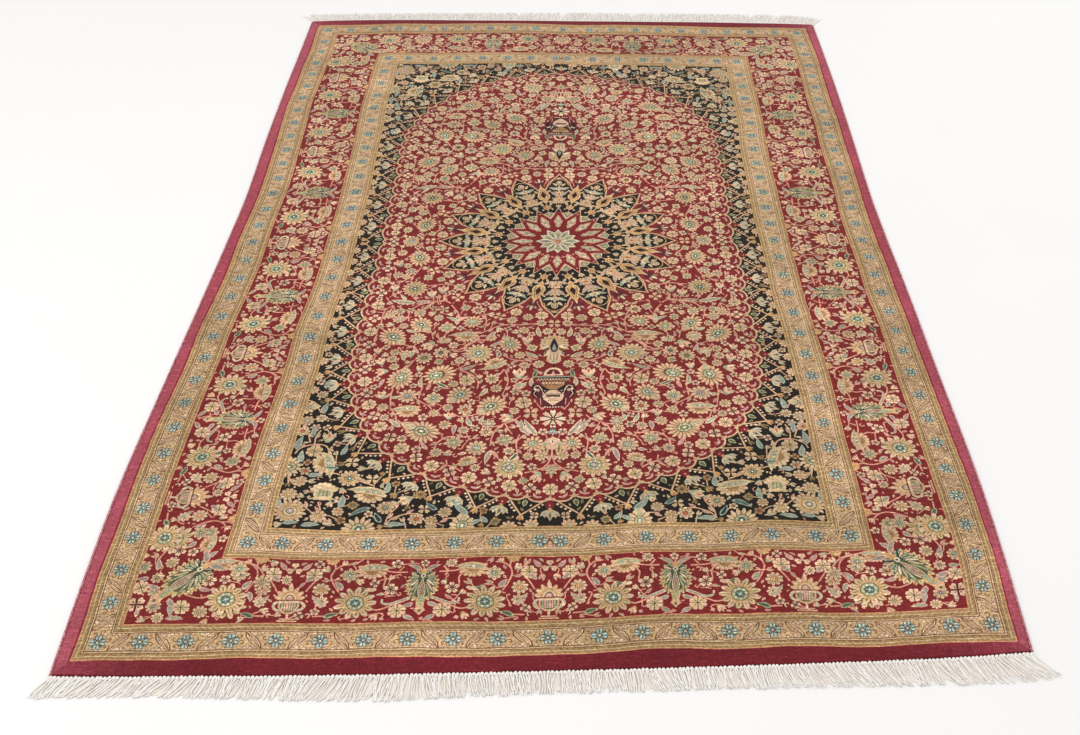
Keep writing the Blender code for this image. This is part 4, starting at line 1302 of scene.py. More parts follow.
STREWN = (
    # the belt between the vase and the scalloped edge
    ("side", 210, 434, 28, 20, 0.24, 0.0, "sage", 17),
    ("side", 283, 444, 26, -104, 0.16, 0.26, "sage", 16),
    ("side", 109, 519, 26, 40, 0.12, 0.30, "green", 15),
    ("side", 168, 490, 22, 45, 0.02, 0.42, "teal", 13),
    ("side", 224, 585, 27, -30, 0.10, 0.75, "olive", 17),
    ("big", 72, 676, 27, 0, "mauve", "sage", 15),
    ("round", 129, 628, 17.5, 15, "slate", "sage", 11),
    ("leaf", 145, 638, 16, 25, 0.2, "peach", "mauve", 8),
    ("point", 169, 612, 16.5, 10, "sage"),
    ("point", 83, 610, 15.5, 20, "sage"),
    ("point", 214, 500, 17, 5, "teal"),
    ("round", 262, 492, 17.5, 0, "teal", "mauve", 11),
    ("leaf", 277, 494, 18, 18, 0.3, "peach", "sage", 8),
    ("star", 156, 529, 14, 8, 0, "rust"),
    ("cross", 158, 452, 14, 8),
    ("round", 113, 447, 12.5, 0, "deep_teal", "olive", 9),
    ("round", 197, 636, 10.5, 0, "deep_teal", "mauve", 10),
    ("round", 18.5, 650, 11.5, 0, "sage", "gold", 9),
    ("profile", 141, 662, 30, 12, -1, 0.5),
    ("round", 113, 567, 12.5, 0, "sage", "cream", 8),
    ("star", 115, 588, 11.5, 8, 0, "gold"),
    ("star", 135, 577, 8.5, 6, 0, "teal"),
    ("round", 210, 538, 9.5, 0, "sage", "gold", 8),
    ("profile", 256, 528, 42, 4, 1, 0.62),
    ("bud", 303, 497, 25, -52),
    ("bud", 309, 420, 25, 15),
    ("bud", 64, 446, 30, -92),
    ("bud", 182, 555, 21, -82),
    ("bud", 70, 549, 26, 14),
    ("x", 39, 542, 15, 45),
    ("cross", 53, 513, 15, 10),
    ("point", 62, 466, 11, 0, "green"),
    ("star", 68, 482, 10, 6, 0, "teal"),
    ("leaf", 60, 475, 22, -110, 0.2, "peach", "sage", 8),
    ("leaf", 38, 470, 26, -70, 0.35, "peach", "sage", 9),
    ("leaf", 36, 446, 28, -95, 0.1, "sage", "green", 9),
    ("profile", 107, 408, 40, 22, -1, 0.9),
    ("bud", 136, 448, 14, -90),
    ("bud", 252, 424, 20, -100),
    ("leaf", 240, 470, 30, -62, 0.45, "peach", "sage", 9),
    ("leaf", 175, 422, 36, 190, -0.28, "pink", "slate", 9),
    ("leaf", 120, 473, 26, 65, 0.15, "peach", "sage", 10),
    ("leaf", 170, 567, 25, 74, -0.25, "pink", "slate", 9),
    ("leaf", 262, 574, 32, -36, 0.15, "cream", "sage", 9),
    ("leaf", 212, 629, 24, -48, 0.25, "pink", "mauve", 8),
    ("leaf", 103, 634, 36, 62, -0.22, "cream", "mauve", 10),
    ("leaf", 312, 443, 26, 60, -0.30, "pink", "mauve", 8),
    ("leaf", 141, 573, 28, -55, 0.22, "cream", "sage", 9),
    ("leaf", 128, 568, 24, -92, 0.25, "cream", "sage", 7),
    ("leaf", 190, 470, 30, -10, 0.4, "cream", "green", 8),
    ("leaf", 230, 478, 26, -118, -0.3, "pink", "salmon", 8),
    ("leaf", 104, 636, 24, 140, 0.3, "pink", "salmon", 7),
    ("leaf", 60, 640, 26, 78, 0.4, "cream", "green", 9),
    ("fan", 14, 612, 38, 96),
    ("saw", 26, 600, 48, -52, 0.14, "peach", "slate", 15),
    ("saw", 40, 600, 52, -64, -0.12, "cream", "mauve", 12),
    ("leaf", 50, 592, 34, -68, 0.25, "peach", "sage", 9),
    ("side", 34, 620, 18, 60, 0.0, 0.0, "slate", 11),
    ("bud", 20, 690, 26, 70),
    ("star", 176, 395, 10.5, 8, 0, "sage"),
    ("curl", 164, 640, 5.5, 20, 1),
    ("curl", 140, 497, 7, 210, -1),
    ("curl", 290, 533, 6, 60, 1),
    ("curl", 202, 391, 7, 0, -1),
    ("bud", 103, 690, 18, -30),
    ("dot", 240, 560), ("dot", 143, 545), ("dot", 134, 493), ("dot", 190, 600), ("dot", 92, 640),
    ("dot", 150, 600), ("dot", 228, 520), ("dot", 300, 470), ("dot", 255, 445), ("dot", 90, 575),
    # the belt round the medallion
    ("big", 289, 167, 25, 0, "green", "olive", 17),
    ("side", 290, 64, 24, -78, 0.20, 0.30, "green", 15),
    ("side", 312, 319, 26, 134, 0.08, 0.40, "teal", 17),
    ("side", 261, 284, 22, 128, 0.02, 0.42, "green", 13),
    ("big", 142, 375, 27, 0, "slate", "sage", 17),
    ("side", 83, 349, 22, -66, 0.0, 0.40, "slate", 14),
    ("profile", 170, 318, 44, 4, 1, 0.7),
    ("side", 161, 277, 19, 30, 0.10, 0.0, "sage", 13),
    ("point", 210, 294, 17, 5, "sage"),
    ("round", 263.5, 326, 15.5, 0, "olive", "cream", 11),
    ("star", 215, 370, 15, 8, 10, "teal"),
    ("round", 246, 385, 15.5, 0, "deep_teal", "olive", 11),
    ("round", 155, 240, 12.5, 0, "rust", "brown", 9),
    ("star", 223, 237, 12, 5, 0, "gold"),
    ("side", 268, 247, 13, -90, 0.1, 0.0, "teal", 9),
    ("round", 309, 242, 10, 0, "teal", "slate", 8),
    ("round", 307, 265, 12.5, 0, "rust", "cream", 9),
    ("round", 327, 252, 11, 0, "sage", "gold", 9),
    ("bud", 231, 184, 27, -92),
    ("bud", 250, 196, 25, -80),
    ("big", 315, 2, 18, 0, "slate", "mauve", 11),
    ("bud", 326, 92, 27, -62),
    ("round", 304, 109, 11, 0, "mauve", "slate", 8),
    ("round", 329, 121, 11, 0, "mauve", "slate", 8),
    ("round", 312, 127, 9, 0, "rust", "gold", 8),
    ("bud", 330, 174, 22, -90),
    ("saw", 282, 214, 52, -8, 0.06, "peach", "sage", 17),
    ("saw", 243, 212, 42, -10, -0.10, "pink", "slate", 12),
    ("leaf", 260, 212, 36, 188, 0.14, "peach", "rust", 6),
    ("leaf", 192, 286, 34, -88, 0.0, "peach", "sage", 10),
    ("leaf", 192, 276, 26, -125, 0.35, "peach", "salmon", 8),
    ("leaf", 192, 276, 26, -50, -0.35, "cream", "sage", 8),
    ("round", 229, 264, 9.5, 0, "sage", "slate", 8),
    ("fan", 213, 344, 26, -90),
    ("bud", 232, 338, 30, 50),
    ("round", 120, 329, 10, 0, "deep_teal", "gold", 8),
    ("bud", 50, 346, 24, -90),
    ("round", 58, 306, 10.5, 0, "rust", "gold", 8),
    ("leaf", 25, 325, 30, -62, 0.3, "peach", "sage", 10),
    ("leaf", 112, 309, 22, 60, 0.3, "cream", "mauve", 9),
    ("leaf", 122, 354, 28, 196, -0.4, "pink", "slate", 8),
    ("leaf", 102, 386, 18, -80, 0.2, "cream", "teal", 9),
    ("leaf", 30, 386, 30, -24, 0.2, "peach", "sage", 10),
    ("round", 64, 380, 10, 0, "sage", "gold", 8),
    ("saw", 176, 375, 30, 150, 0.2, "pink", "slate", 10),
    ("leaf", 258, 372, 26, -48, 0.3, "pink", "mauve", 8),
    ("round", 281, 372, 10.5, 0, "olive", "cream", 8),
    ("round", 303, 367, 9.5, 0, "deep_teal", "gold", 8),
    ("star", 306, 387, 10, 8, 0, "slate"),
    ("bud", 333, 371, 20, -80),
    ("bud", 322, 404, 24, -70),
    ("leaf", 288, 300, 26, 150, -0.3, "peach", "sage", 9),
    ("leaf", 270, 362, 22, 100, 0.3, "peach", "sage", 8),
    ("leaf", 282, 392, 22, -60, 0.3, "peach", "sage", 8),
    ("leaf", 170, 358, 22, -110, 0.3, "pink", "salmon", 7),
    ("bud", 68, 316, 16, -40),
    ("bud", 110, 296, 18, 120),
    ("bud", 198, 330, 14, 30),
    ("curl", 205, 378, 6, 200, 1),
    ("curl", 248, 305, 5, 60, 1),
    ("star", 340, 287, 8, 6, 0, "gold"),
    ("star", 288, 238, 9, 6, 0, "gold"),
    ("star", 243, 232, 8, 5, 0, "salmon"),
    ("leaf", 250, 220, 26, 60, 0.2, "peach", "olive", 8),
    ("leaf", 300, 205, 26, -40, 0.2, "peach", "sage", 7),
    ("dot", 257, 8), ("dot", 262, 58), ("dot", 285, 131), ("dot", 207, 225), ("dot", 272, 196), ("dot", 340, 60),
    ("dot", 185, 335), ("dot", 95, 318), ("dot", 225, 300), ("dot", 340, 200), ("dot", 268, 90), ("dot", 226, 312),
    ("dot", 60, 395), ("dot", 150, 300), ("dot", 120, 300), ("dot", 280, 268), ("dot", 345, 330), ("dot", 40, 300),
)

CORNER = (
    ("big", 413, 774, 25, 0, "mauve", "pink", 17),
    ("big", 329, 697, 18, 0, "teal", "oldgold", 12),
    ("cross", 399, 633, 14, 0),
    ("round", 421, 737, 13.5, 0, "olive", "gold", 10),
    ("round", 368, 783, 12.5, 0, "olive", "gold", 9),
    ("round", 265, 763, 13.5, 0, "teal", "olive", 10),
    ("star", 214, 790, 12.5, 8, 0, "rust"),
    ("round", 191, 794, 10, 0, "olive", "gold", 8),
    ("round", 339, 771, 9.5, 0, "rust", "gold", 8),
    ("cup", 366, 712, 46, 90),
    ("profile", 371, 661, 50, 104, -1, 0.60),
    ("profile", 292, 728, 48, -8, 1, 0.65),
    ("side", 440, 672, 27, 180, 0.2, 0.0, "olive", 16),
    ("side", 302, 814, 29, -90, 0.12, 0.0, "teal", 17),
    ("side", 141, 806, 22, -90, 0.0, 0.45, "sage", 12),
    ("side", 437, 522, 18, -170, 0.0, 0.5, "slate", 11),
    ("round", 190, 806, 9, 0, "olive", "gold", 8),
    ("bud", 382, 612, 30, -92),
    ("round", 427, 557, 12, 0, "sage", "mauve", 9),
    ("star", 429, 584, 12, 8, 0, "rust"),
    ("star", 409, 574, 9, 6, 0, "sky"),
    ("x", 330, 660, 12.5, 45),
    ("x", 293, 698, 12, 45),
    ("x", 203, 768, 11, 45),
    ("x", 340, 745, 8, 45),
    ("bud", 224, 741, 26, 24),
    ("bud", 246, 754, 15, 0),
    ("round", 407, 706, 11, 0, "rust", "gold", 8),
    ("star", 404, 682, 10, 6, 0, "rust"),
    ("leaf", 352, 643, 27, -118, -0.3, "sky", "slate", 10),
    ("leaf", 268, 730, 26, -108, -0.25, "sky", "slate", 10),
    ("leaf", 132, 779, 34, -18, 0.62, "sky", "slate", 12),
    ("leaf", 338, 763, 28, -110, -0.25, "sky", "slate", 11),
    ("leaf", 288, 762, 36, 10, -0.35, "slate", "teal", 10),
    ("leaf", 430, 630, 34, -84, 0.25, "sky", "slate", 12),
    ("leaf", 414, 660, 28, -62, 0.3, "sky", "slate", 11),
    ("leaf", 436, 768, 28, -100, -0.2, "sky", "slate", 11),
    ("leaf", 392, 804, 28, 205, 0.3, "sky", "slate", 10),
    ("leaf", 262, 801, 34, 190, 0.2, "sky", "slate", 10),
    ("leaf", 268, 796, 26, -48, 0.25, "sky", "deep_teal", 10),
    ("leaf", 128, 803, 22, 220, 0.2, "sky", "slate", 9),
    ("leaf", 404, 538, 30, -86, 0.2, "sky", "slate", 11),
    ("leaf", 398, 693, 24, 200, 0.3, "sky", "slate", 11),
    ("leaf", 410, 600, 34, -88, 0.0, "sky", "slate", 9),
    ("leaf", 182, 770, 24, -20, 0.4, "slate", "teal", 9),
    ("leaf", 420, 800, 22, 200, 0.3, "sky", "slate", 9),
    ("leaf", 350, 672, 24, 20, 0.4, "slate", "teal", 7),
    ("leaf", 100, 800, 18, -40, 0.3, "sky", "slate", 8),
    ("leaf", 412, 470, 26, -86, 0.2, "sky", "slate", 9),
    ("bud", 345, 801, 18, -45),
    ("bud", 433, 712, 14, 0),
    ("bud", 160, 752, 14, 60),
    ("bud", 395, 742, 14, -20),
    ("curl", 374, 760, 6, 150, 1),
    ("curl", 372, 697, 6, -60, 1),
    ("curl", 330, 735, 6, 180, -1),
    ("dot", 270, 707), ("dot", 277, 742), ("dot", 319, 722), ("dot", 353, 700), ("dot", 395, 655), ("dot", 345, 616),
    ("dot", 368, 632), ("dot", 402, 748), ("dot", 389, 719), ("dot", 236, 770), ("dot", 247, 722), ("dot", 222, 760),
    ("dot", 182, 752), ("dot", 118, 765), ("dot", 60, 790), ("dot", 88, 785), ("dot", 402, 590), ("dot", 424, 540),
    ("dot", 418, 500), ("dot", 392, 556), ("dot", 360, 765), ("dot", 302, 748), ("dot", 382, 760), ("dot", 392, 606),
    ("dot", 428, 690), ("dot", 320, 775), ("dot", 240, 735), ("dot", 310, 690), ("dot", 345, 720), ("dot", 414, 720),
)

EDGE_HALVES = (  # half flowers that stand on the field's edge, dark side: across, along, radius, angle
    (30, 808, 13, -90),
    (66, 812, 14, -90),
    (434, 474, 12, 180),
    (434, 436, 12, 180),
    (434, 392, 12, 180),
    (434, 352, 12, 180),
    (434, 312, 12, 180),
    (434, 272, 12, 180),
    (434, 232, 12, 180),
    (434, 192, 12, 180),
    (434, 152, 12, 180),
    (434, 112, 12, 180),
    (434, 72, 12, 180),
    (434, 32, 12, 180),
)

VINES = (  # millimetres across and along, in order, on the red
    ((92, 490), (84, 460), (86, 436), (92, 420)),
    ((92, 420), (98, 432), (104, 440)),
    ((88, 512), (88, 500), (92, 490)),
    ((138, 474), (138, 456), (150, 436), (176, 422)),
    ((57, 548), (70, 562), (92, 573), (104, 600), (106, 624)),
    ((92, 573), (108, 576)),
    ((84, 565), (78, 580), (70, 596)),
    ((141, 598), (160, 599), (180, 597), (194, 608), (200, 622), (200, 634)),
    ((134, 540), (150, 546), (166, 546), (176, 540)),
    ((292, 470), (293, 490), (288, 520)),
    ((238, 466), (240, 484), (240, 500)),
    ((252, 494), (236, 508), (218, 522), (212, 534)),
    ((289, 522), (276, 544), (272, 560)),
    ((266, 392), (272, 408), (280, 420)),
    ((198, 524), (202, 530), (206, 536)),
    ((30, 688), (14, 678), (4, 664), (0, 640), (0, 624)),
    ((178, 654), (177, 668), (190, 680)),
    ((57, 596), (62, 618), (60, 640)),
    ((46, 690), (30, 686)),
    ((150, 684), (166, 672), (176, 668)),
    ((36, 285), (60, 289), (90, 288), (118, 298), (138, 312), (146, 314)),
    ((143, 324), (156, 344), (176, 360), (190, 366)),
    ((136, 306), (134, 276), (142, 246), (152, 220)),
    ((170, 366), (180, 368), (192, 368)),
    ((208, 157), (232, 153), (264, 158)),
    ((284, 28), (290, 18), (298, 10)),
    ((284, 92), (296, 122), (312, 138), (320, 146)),
    ((322, 146), (331, 172), (330, 190), (318, 196)),
    ((210, 218), (224, 208), (242, 212), (262, 216), (280, 228), (290, 250), (286, 272)),
    ((226, 208), (226, 198), (228, 190)),
    ((206, 226), (194, 246), (190, 262), (191, 282)),
    ((246, 206), (248, 196)),
    ((326, 222), (340, 240), (340, 276), (332, 300)),
    ((326, 222), (318, 240)),
    ((326, 222), (328, 244)),
    ((234, 330), (238, 310), (244, 300)),
    ((30, 390), (54, 396), (78, 392), (96, 380)),
    ((128, 334), (148, 336), (152, 342)),
    ((210, 310), (214, 326), (212, 340)),
    ((296, 352), (290, 364), (284, 372)),
    ((296, 352), (300, 362)),
    ((330, 140), (336, 120), (336, 100)),
    ((54, 376), (44, 388), (34, 392)),
    ((296, 344), (300, 336)),
    ((340, 346), (346, 330), (342, 312)),
    ((264, 338), (270, 350), (286, 346)),
)

DARK_VINES = (
    ((368, 648), (380, 622), (402, 616), (424, 626), (430, 640)),
    ((402, 616), (404, 596), (398, 580)),
    ((410, 612), (416, 596), (424, 572)),
    ((340, 800), (356, 794), (366, 770), (372, 752)),
    ((262, 801), (250, 786), (228, 778), (206, 780)),
    ((262, 801), (258, 780), (246, 762)),
    ((128, 803), (150, 790), (172, 790)),
    ((404, 718), (418, 712), (426, 700), (430, 688)),
    ((290, 712), (310, 704), (316, 700)),
    ((346, 690), (356, 686), (368, 690)),
    ((440, 500), (424, 508), (416, 520), (408, 536)),
    ((378, 776), (392, 762), (406, 750)),
)


def strew(art, rows):
    for row in rows:
        kind, x, y = row[0], row[1] / 1000, row[2] / 1000
        if kind == "side":
            _, _, _, r, a, off, tail, heart, n = row
            side_flower(art, x, y, r / 1000, n, math.radians(a), off, tail, heart)
        elif kind == "big":
            _, _, _, r, a, heart, inner, n = row
            big_rosette(art, x, y, r / 1000, n, math.radians(a), heart, inner)
        elif kind == "round":
            _, _, _, r, a, heart, ring, n = row
            rosette(art, x, y, r / 1000, n, math.radians(a), heart, ring)
        elif kind == "point":
            _, _, _, r, a, heart = row
            pointed_rosette(art, x, y, r / 1000, 8, math.radians(a), heart)
        elif kind == "star":
            _, _, _, r, n, a, heart = row
            star_flower(art, x, y, r / 1000, n, math.radians(a), heart=heart)
        elif kind == "cross":
            lattice_rosette(art, x, y, row[3] / 1000, math.radians(row[4]))
        elif kind == "x":
            x_flower(art, x, y, row[3] / 1000, math.radians(row[4]))
        elif kind == "leaf":
            _, _, _, size, a, bend, edge, fill, w = row
            leaf(art, x, y, size / 1000, w / 1000, math.radians(a), bend, edge, fill)
        elif kind == "saw":
            _, _, _, size, a, bend, edge, fill, w = row
            saw_leaf(art, x, y, size / 1000, w / 1000, math.radians(a), bend, edge, fill, teeth=5)
        elif kind == "profile":
            _, _, _, size, a, hand, tail = row
            profile_palmette(art, x, y, size / 1000, math.radians(a), hand, tail)
        elif kind == "bud":
            bud(art, x, y, row[3] / 1000, math.radians(row[4]))
        elif kind == "fan":
            fan_flower(art, x, y, row[3] / 1000, math.radians(row[4]))
        elif kind == "cup":
            cup_flower(art, x, y, row[3] / 1000, math.radians(row[4]))
        elif kind == "curl":
            curl(art, x, y, row[3] / 1000, math.radians(row[4]), row[5], "salmon", 0.0016)
        elif kind == "dot":
            dot(art, x, y, 0.0024, "salmon" if x + y < 0.9 else "peach")


def draw_field(art):
    art.rect(-0.02, -0.02, FIELD[0] + 0.02, FIELD[1] + 0.02, "navy")
    scalloped_field(art)
    for line in VINES:
        vine(art, np.array(line) / 1000, "salmon", 0.0026, sprigs=0.024)
    for line in DARK_VINES:
        vine(art, np.array(line) / 1000, "apricot", 0.0024, sprigs=0.026)
    strew(art, STREWN)
    start = len(art.shapes)
    strew(art, CORNER)
    art.shapes[start:] = buffed(art.shapes[start:])
    for x, y, r, a in EDGE_HALVES:
        art.lot()
        x, y, r, a = x / 1000, y / 1000, r / 1000, math.radians(a)
        art.disc(x, y, 0.7 * r, "oldgold", n=9)
        petals(art, x, y, 9, 0.3 * r, r, 0.22 * r, "apricot", a)
        petals(art, x, y, 9, 0.4 * r, 0.9 * r, 0.10 * r, "peach", a, slim=True)
        art.disc(x, y, 0.3 * r, "sage", n=7)
    medallion(art)
    pendant_palmette(art)
    long_vase(art)
    cross_rosette(art, 0, 0.557, 0.0235)
    # the small flowers on the long axis towards the end
    bud(art, 0, 0.580, 0.020, math.radians(90), "sky", "green")
    fleur(art, 0, 0.602, 0.026, math.radians(90), edge="peach", fill="cream", cup="gold")
    vine(art, [(0, 0.625), (0, 0.655)], "peach", 0.0026)
    palmette(art, 0, 0.672, 0.034, 0.022, math.radians(90), k=7, heart="sage", core="green")


def draw_all(art):
    draw_field(art)
    draw_frame(art)
    art.home()
    fill_gaps(art)


# ---- small flowers, leaves and tendrils wherever the ground is still bare -------------------------------------------

GROUNDS = ("navy", "field_red", "border_red")
CELL = 0.0015


def reach_of(points):
    after = np.roll(points, -1, axis=0)
    return abs((points[:, 0] * after[:, 1] - after[:, 0] * points[:, 1]).sum()) / 2


def is_ground(shape):
    return shape[1] in GROUNDS and reach_of(shape[0]) > 0.010


def bare_ground(shapes):
    """A grid over the quarter: 0 where a motif lies, else 1 + the ground's number."""
    nx, ny = int(0.7065 / CELL), int(1.0835 / CELL)
    bare = np.zeros((ny, nx), np.int8)
    for shape in shapes:
        points, dye, _ = shape
        lo = np.maximum(np.floor(points.min(0) / CELL - 0.5).astype(int), 0)
        hi = np.minimum(np.ceil(points.max(0) / CELL + 0.5).astype(int), (nx, ny))
        if (hi <= lo).any():
            continue
        xs = (np.arange(lo[0], hi[0]) + 0.5) * CELL
        ys = ((np.arange(lo[1], hi[1]) + 0.5) * CELL)[:, None]
        inside = np.zeros((len(ys), len(xs)), bool)
        for (x0, y0), (x1, y1) in zip(points, np.roll(points, -1, axis=0)):
            if y0 == y1:
                continue
            inside ^= ((y0 > ys) != (y1 > ys)) & (xs < (x1 - x0) * (ys - y0) / (y1 - y0) + x0)
        value = 1 + GROUNDS.index(dye) if is_ground(shape) else 0
        bare[lo[1] : hi[1], lo[0] : hi[0]][inside] = value
        if not inside.any():
            mx, my = (points.mean(0) / CELL).astype(int)
            if 0 <= mx < nx and 0 <= my < ny:
                bare[my, mx] = value
    return bare


def room_around(bare):
    """How many cells of bare ground lie round each cell."""
    room = np.zeros(bare.shape, int)
    now = bare > 0
    for k in range(14):
        room[now] = k + 1
        wide = np.pad(now, 1, mode="edge")
        after = wide[1:-1, 1:-1] & wide[:-2, 1:-1] & wide[2:, 1:-1] & wide[1:-1, :-2] & wide[1:-1, 2:]
        if k % 2:
            after &= wide[:-2, :-2] & wide[2:, 2:] & wide[:-2, 2:] & wide[2:, :-2]
        now = after
        if not now.any():
            break
    return room


def tendril(art, x, y, length, angle, bend, dye, width=0.0021):
    t = np.linspace(0, 1, 6)
    p = np.stack([length * t, bend * length * np.sin(t * 2.2) * t], 1)
    art.ribbon(turned(p, angle, x, y), width, dye, taper=width * 0.8)
    return turned(p, angle, x, y)[-1]


def small_motif(art, kind, x, y, r, a, dark):
    pale, line = ("peach", "apricot") if dark else ("peach", "salmon")
    if kind == 0:
        pointed_rosette(art, x, y, r * 0.86, 8, a, "teal" if dark else "green")
    elif kind == 1:
        rosette(art, x, y, r * 0.86, 9, a, "teal", "gold")
    elif kind == 2:
        blossom(art, x, y, r * 0.98, 5, a, pale)
    elif kind == 3:
        star_flower(art, x, y, r * 0.92, 8, a, pale, "sage")
    elif kind == 4:
        blossom(art, x, y, r * 1.0, 4, a, pale)
    elif kind == 5:
        c, s = math.cos(a), math.sin(a)
        bud(art, x - c * r * 0.9, y - s * r * 0.9, r * 1.9, a, pale, "sage")
    elif kind == 6:
        c, s = math.cos(a), math.sin(a)
        leaf(art, x - c * r * 1.0, y - s * r * 1.0, r * 2.1, r * 0.95, a, 0.3, line, ("sage", "mauve", "slate")[int(a * 7) % 3], n=6)
    elif kind == 7:
        curl(art, x - 0.5 * r * math.cos(a), y - 0.5 * r * math.sin(a), r * 0.55, a, 1 if math.sin(a * 9) > 0 else -1, line, 0.0019)
    elif kind == 8:
        for s in (-1, 1):
            leaf(art, x - math.cos(a) * r * 0.9, y - math.sin(a) * r * 0.9, r * 1.75, r * 0.70, a + s * 0.50, 0.25 * s, line, "sage" if s > 0 else "mauve", n=5)
    else:
        art.put(turned([(-0.9 * r, 0), (0, -0.5 * r), (0.9 * r, 0), (0, 0.5 * r)], a, x, y), pale)
        dot(art, x, y, 0.3 * r, "rust")


def fill_gaps(art):
    """Adds stems under the motifs that are there, and small motifs in the room between them."""
    bare = bare_ground(art.shapes)
    room = room_around(bare)
    ny, nx = bare.shape
    rng = np.random.default_rng(11)
    taken = np.zeros(bare.shape, bool)
    stems, fill = Art(), Art()
    fill.count = 900
    kinds = {9: (0, 1), 8: (0, 1, 3), 7: (2, 3, 5), 6: (4, 8, 5, 2), 5: (8, 6, 7, 5), 4: (6, 7, 9)}
    for level in (9, 8, 7, 6, 5, 4):
        rows, cols = np.nonzero(room >= level)
        for k in rng.permutation(len(rows)):
            i, j = rows[k], cols[k]
            w = level + (1 if level < 8 else 0)
            if i < w or j < w or taken[max(i - w, 0) : i + w + 1, max(j - w, 0) : j + w + 1].any():
                continue
            r = (level - 0.8) * CELL
            x, y = (j + 0.5) * CELL, (i + 0.5) * CELL
            dark = bare[i, j] == 1
            a = rng.uniform(0, TAU)
            start = len(fill.shapes)
            small_motif(fill, kinds[level][rng.integers(len(kinds[level]))], x, y, r, a, dark)
            if dark:
                toned = dimmed if rng.uniform() < 0.45 else buffed
                fill.shapes[start:] = toned(fill.shapes[start:])
            taken[max(i - w, 0) : i + w + 1, max(j - w, 0) : j + w + 1] = True
            if level >= 5:
                tendril(stems, x, y, rng.uniform(0.016, 0.034), a + math.pi + rng.normal(0, 0.3), rng.choice((-0.5, 0.5)), "apricot" if dark else "salmon")
    ground = [s for s in art.shapes if is_ground(s)]
    rest = [s for s in art.shapes if not is_ground(s)]
    # a stem piece is kept only where its middle lies within the quarter
    kept = []
    for shape in stems.shapes:
        mx, my = shape[0].mean(0) / CELL
        if 0 <= int(mx) < nx and 0 <= int(my) < ny:
            kept.append(shape)
    art.shapes = ground + kept + rest + fill.shapes
# ==== from the drawing to the rug ================================================================================

PILE_HEIGHT = 0.0055
SELVEDGE_DIAMETER = 0.0050
PIECE_GAP = 0.0003
ROLL = 0.0012  # how the pile rolls over at its outer edge
EDGE = (0.7065, 1.0835)  # the pile's half size in the drawing

# The rug's outline in millimetres, as in the CAD part: along, left, right; and across, near, far.
SIDES = np.array(
    (
        (-1087, -707.5, 698.0),
        (-889, -715.0, 706.0),
        (-709, -718.0, 709.0),
        (-459, -712.0, 704.0),
        (-209, -705.0, 700.0),
        (11, -700.0, 694.0),
        (171, -698.0, 692.0),
        (411, -704.0, 695.5),
        (671, -707.0, 698.0),
        (891, -707.0, 697.0),
        (1071, -707.5, 695.0),
    )
)
ENDS = np.array(
    (
        (-706, -1082.5, 1068.0),
        (-620, -1085.5, 1073.5),
        (-520, -1087.0, 1077.0),
        (-400, -1089.5, 1078.5),
        (-235, -1091.0, 1078.0),
        (0, -1091.0, 1076.0),
        (230, -1089.5, 1072.0),
        (460, -1086.0, 1068.5),
        (600, -1082.0, 1064.0),
        (697, -1076.0, 1058.0),
    )
)
# Where the outer guard's outer edge runs, which wanders as a hand-knotted line does: along, left, right; across, near, far.
GUARD_SIDES = np.array(
    (
        (-1070, -684, 678),
        (-1009, -685.4, 679.5),
        (-909, -692, 687),
        (-809, -691.4, 686.7),
        (-709, -693.3, 686.4),
        (-609, -691.1, 684.6),
        (-509, -687, 682.8),
        (-409, -683.4, 680.8),
        (-309, -683.3, 677.6),
        (-209, -677.7, 672.8),
        (-109, -673.9, 672.5),
        (-9, -673.8, 668.6),
        (91, -672.1, 667.2),
        (191, -671.1, 668.4),
        (291, -672.6, 667.7),
        (391, -675.8, 668.5),
        (491, -679, 672.3),
        (591, -682.4, 671),
        (691, -680.9, 672.3),
        (791, -681, 673.3),
        (891, -678.5, 673.1),
        (991, -681.4, 670.8),
        (1060, -681, 670),
    )
)
GUARD_ENDS = np.array(
    (
        (-690, -1060, 1038),
        (-654, -1060.1, 1041.6),
        (-554, -1060.5, 1047.2),
        (-454, -1060.7, 1054.6),
        (-354, -1065.1, 1052.3),
        (-254, -1065.5, 1055.5),
        (-154, -1065, 1058.3),
        (-54, -1065.1, 1055.3),
        (46, -1064.6, 1050.5),
        (146, -1060.3, 1050.6),
        (246, -1062.7, 1047.9),
        (346, -1059.6, 1041.6),
        (446, -1063.3, 1036.7),
        (546, -1060.5, 1035.7),
        (646, -1058.6, 1033.4),
        (690, -1058, 1031),
    )
)
WAVES = ((0.55, 820.0, 1350.0, 0.4), (0.40, 410.0, -610.0, 1.9), (0.30, -260.0, 345.0, 4.1))
MIDDLE = (-0.0110, -0.0150)  # where the medallion's middle lies
BANDS = {  # how far inside the outer guard's outer edge the next lines run: guard, border, field
    "left": (0.0590, 0.1805, 0.2425),
    "right": (0.0595, 0.1870, 0.2510),
    "near": (0.0620, 0.1840, 0.2460),
    "far": (0.0620, 0.1800, 0.2460),
}


def reading(rows, col, where):
    """A table's column on a smooth curve through its rows (Catmull-Rom). Takes and gives arrays, in metres."""
    xs, ys = rows[:, 0] / 1000, rows[:, col] / 1000
    where = np.clip(where, xs[0], xs[-1])
    i = np.clip(np.searchsorted(xs, where, side="right") - 1, 0, len(xs) - 2)
    span = xs[i + 1] - xs[i]
    t = (where - xs[i]) / span
    lo, hi = np.maximum(i - 1, 0), np.minimum(i + 1, len(xs) - 1)
    s0 = (ys[i + 1] - ys[lo]) / (xs[i + 1] - xs[lo]) * span
    hi2 = np.minimum(i + 2, len(xs) - 1)
    s1 = (ys[hi2] - ys[i]) / (xs[hi2] - xs[i]) * span
    return (2 * t**3 - 3 * t**2 + 1) * ys[i] + (t**3 - 2 * t**2 + t) * s0 + (3 * t**2 - 2 * t**3) * ys[i + 1] + (t**3 - t**2) * s1


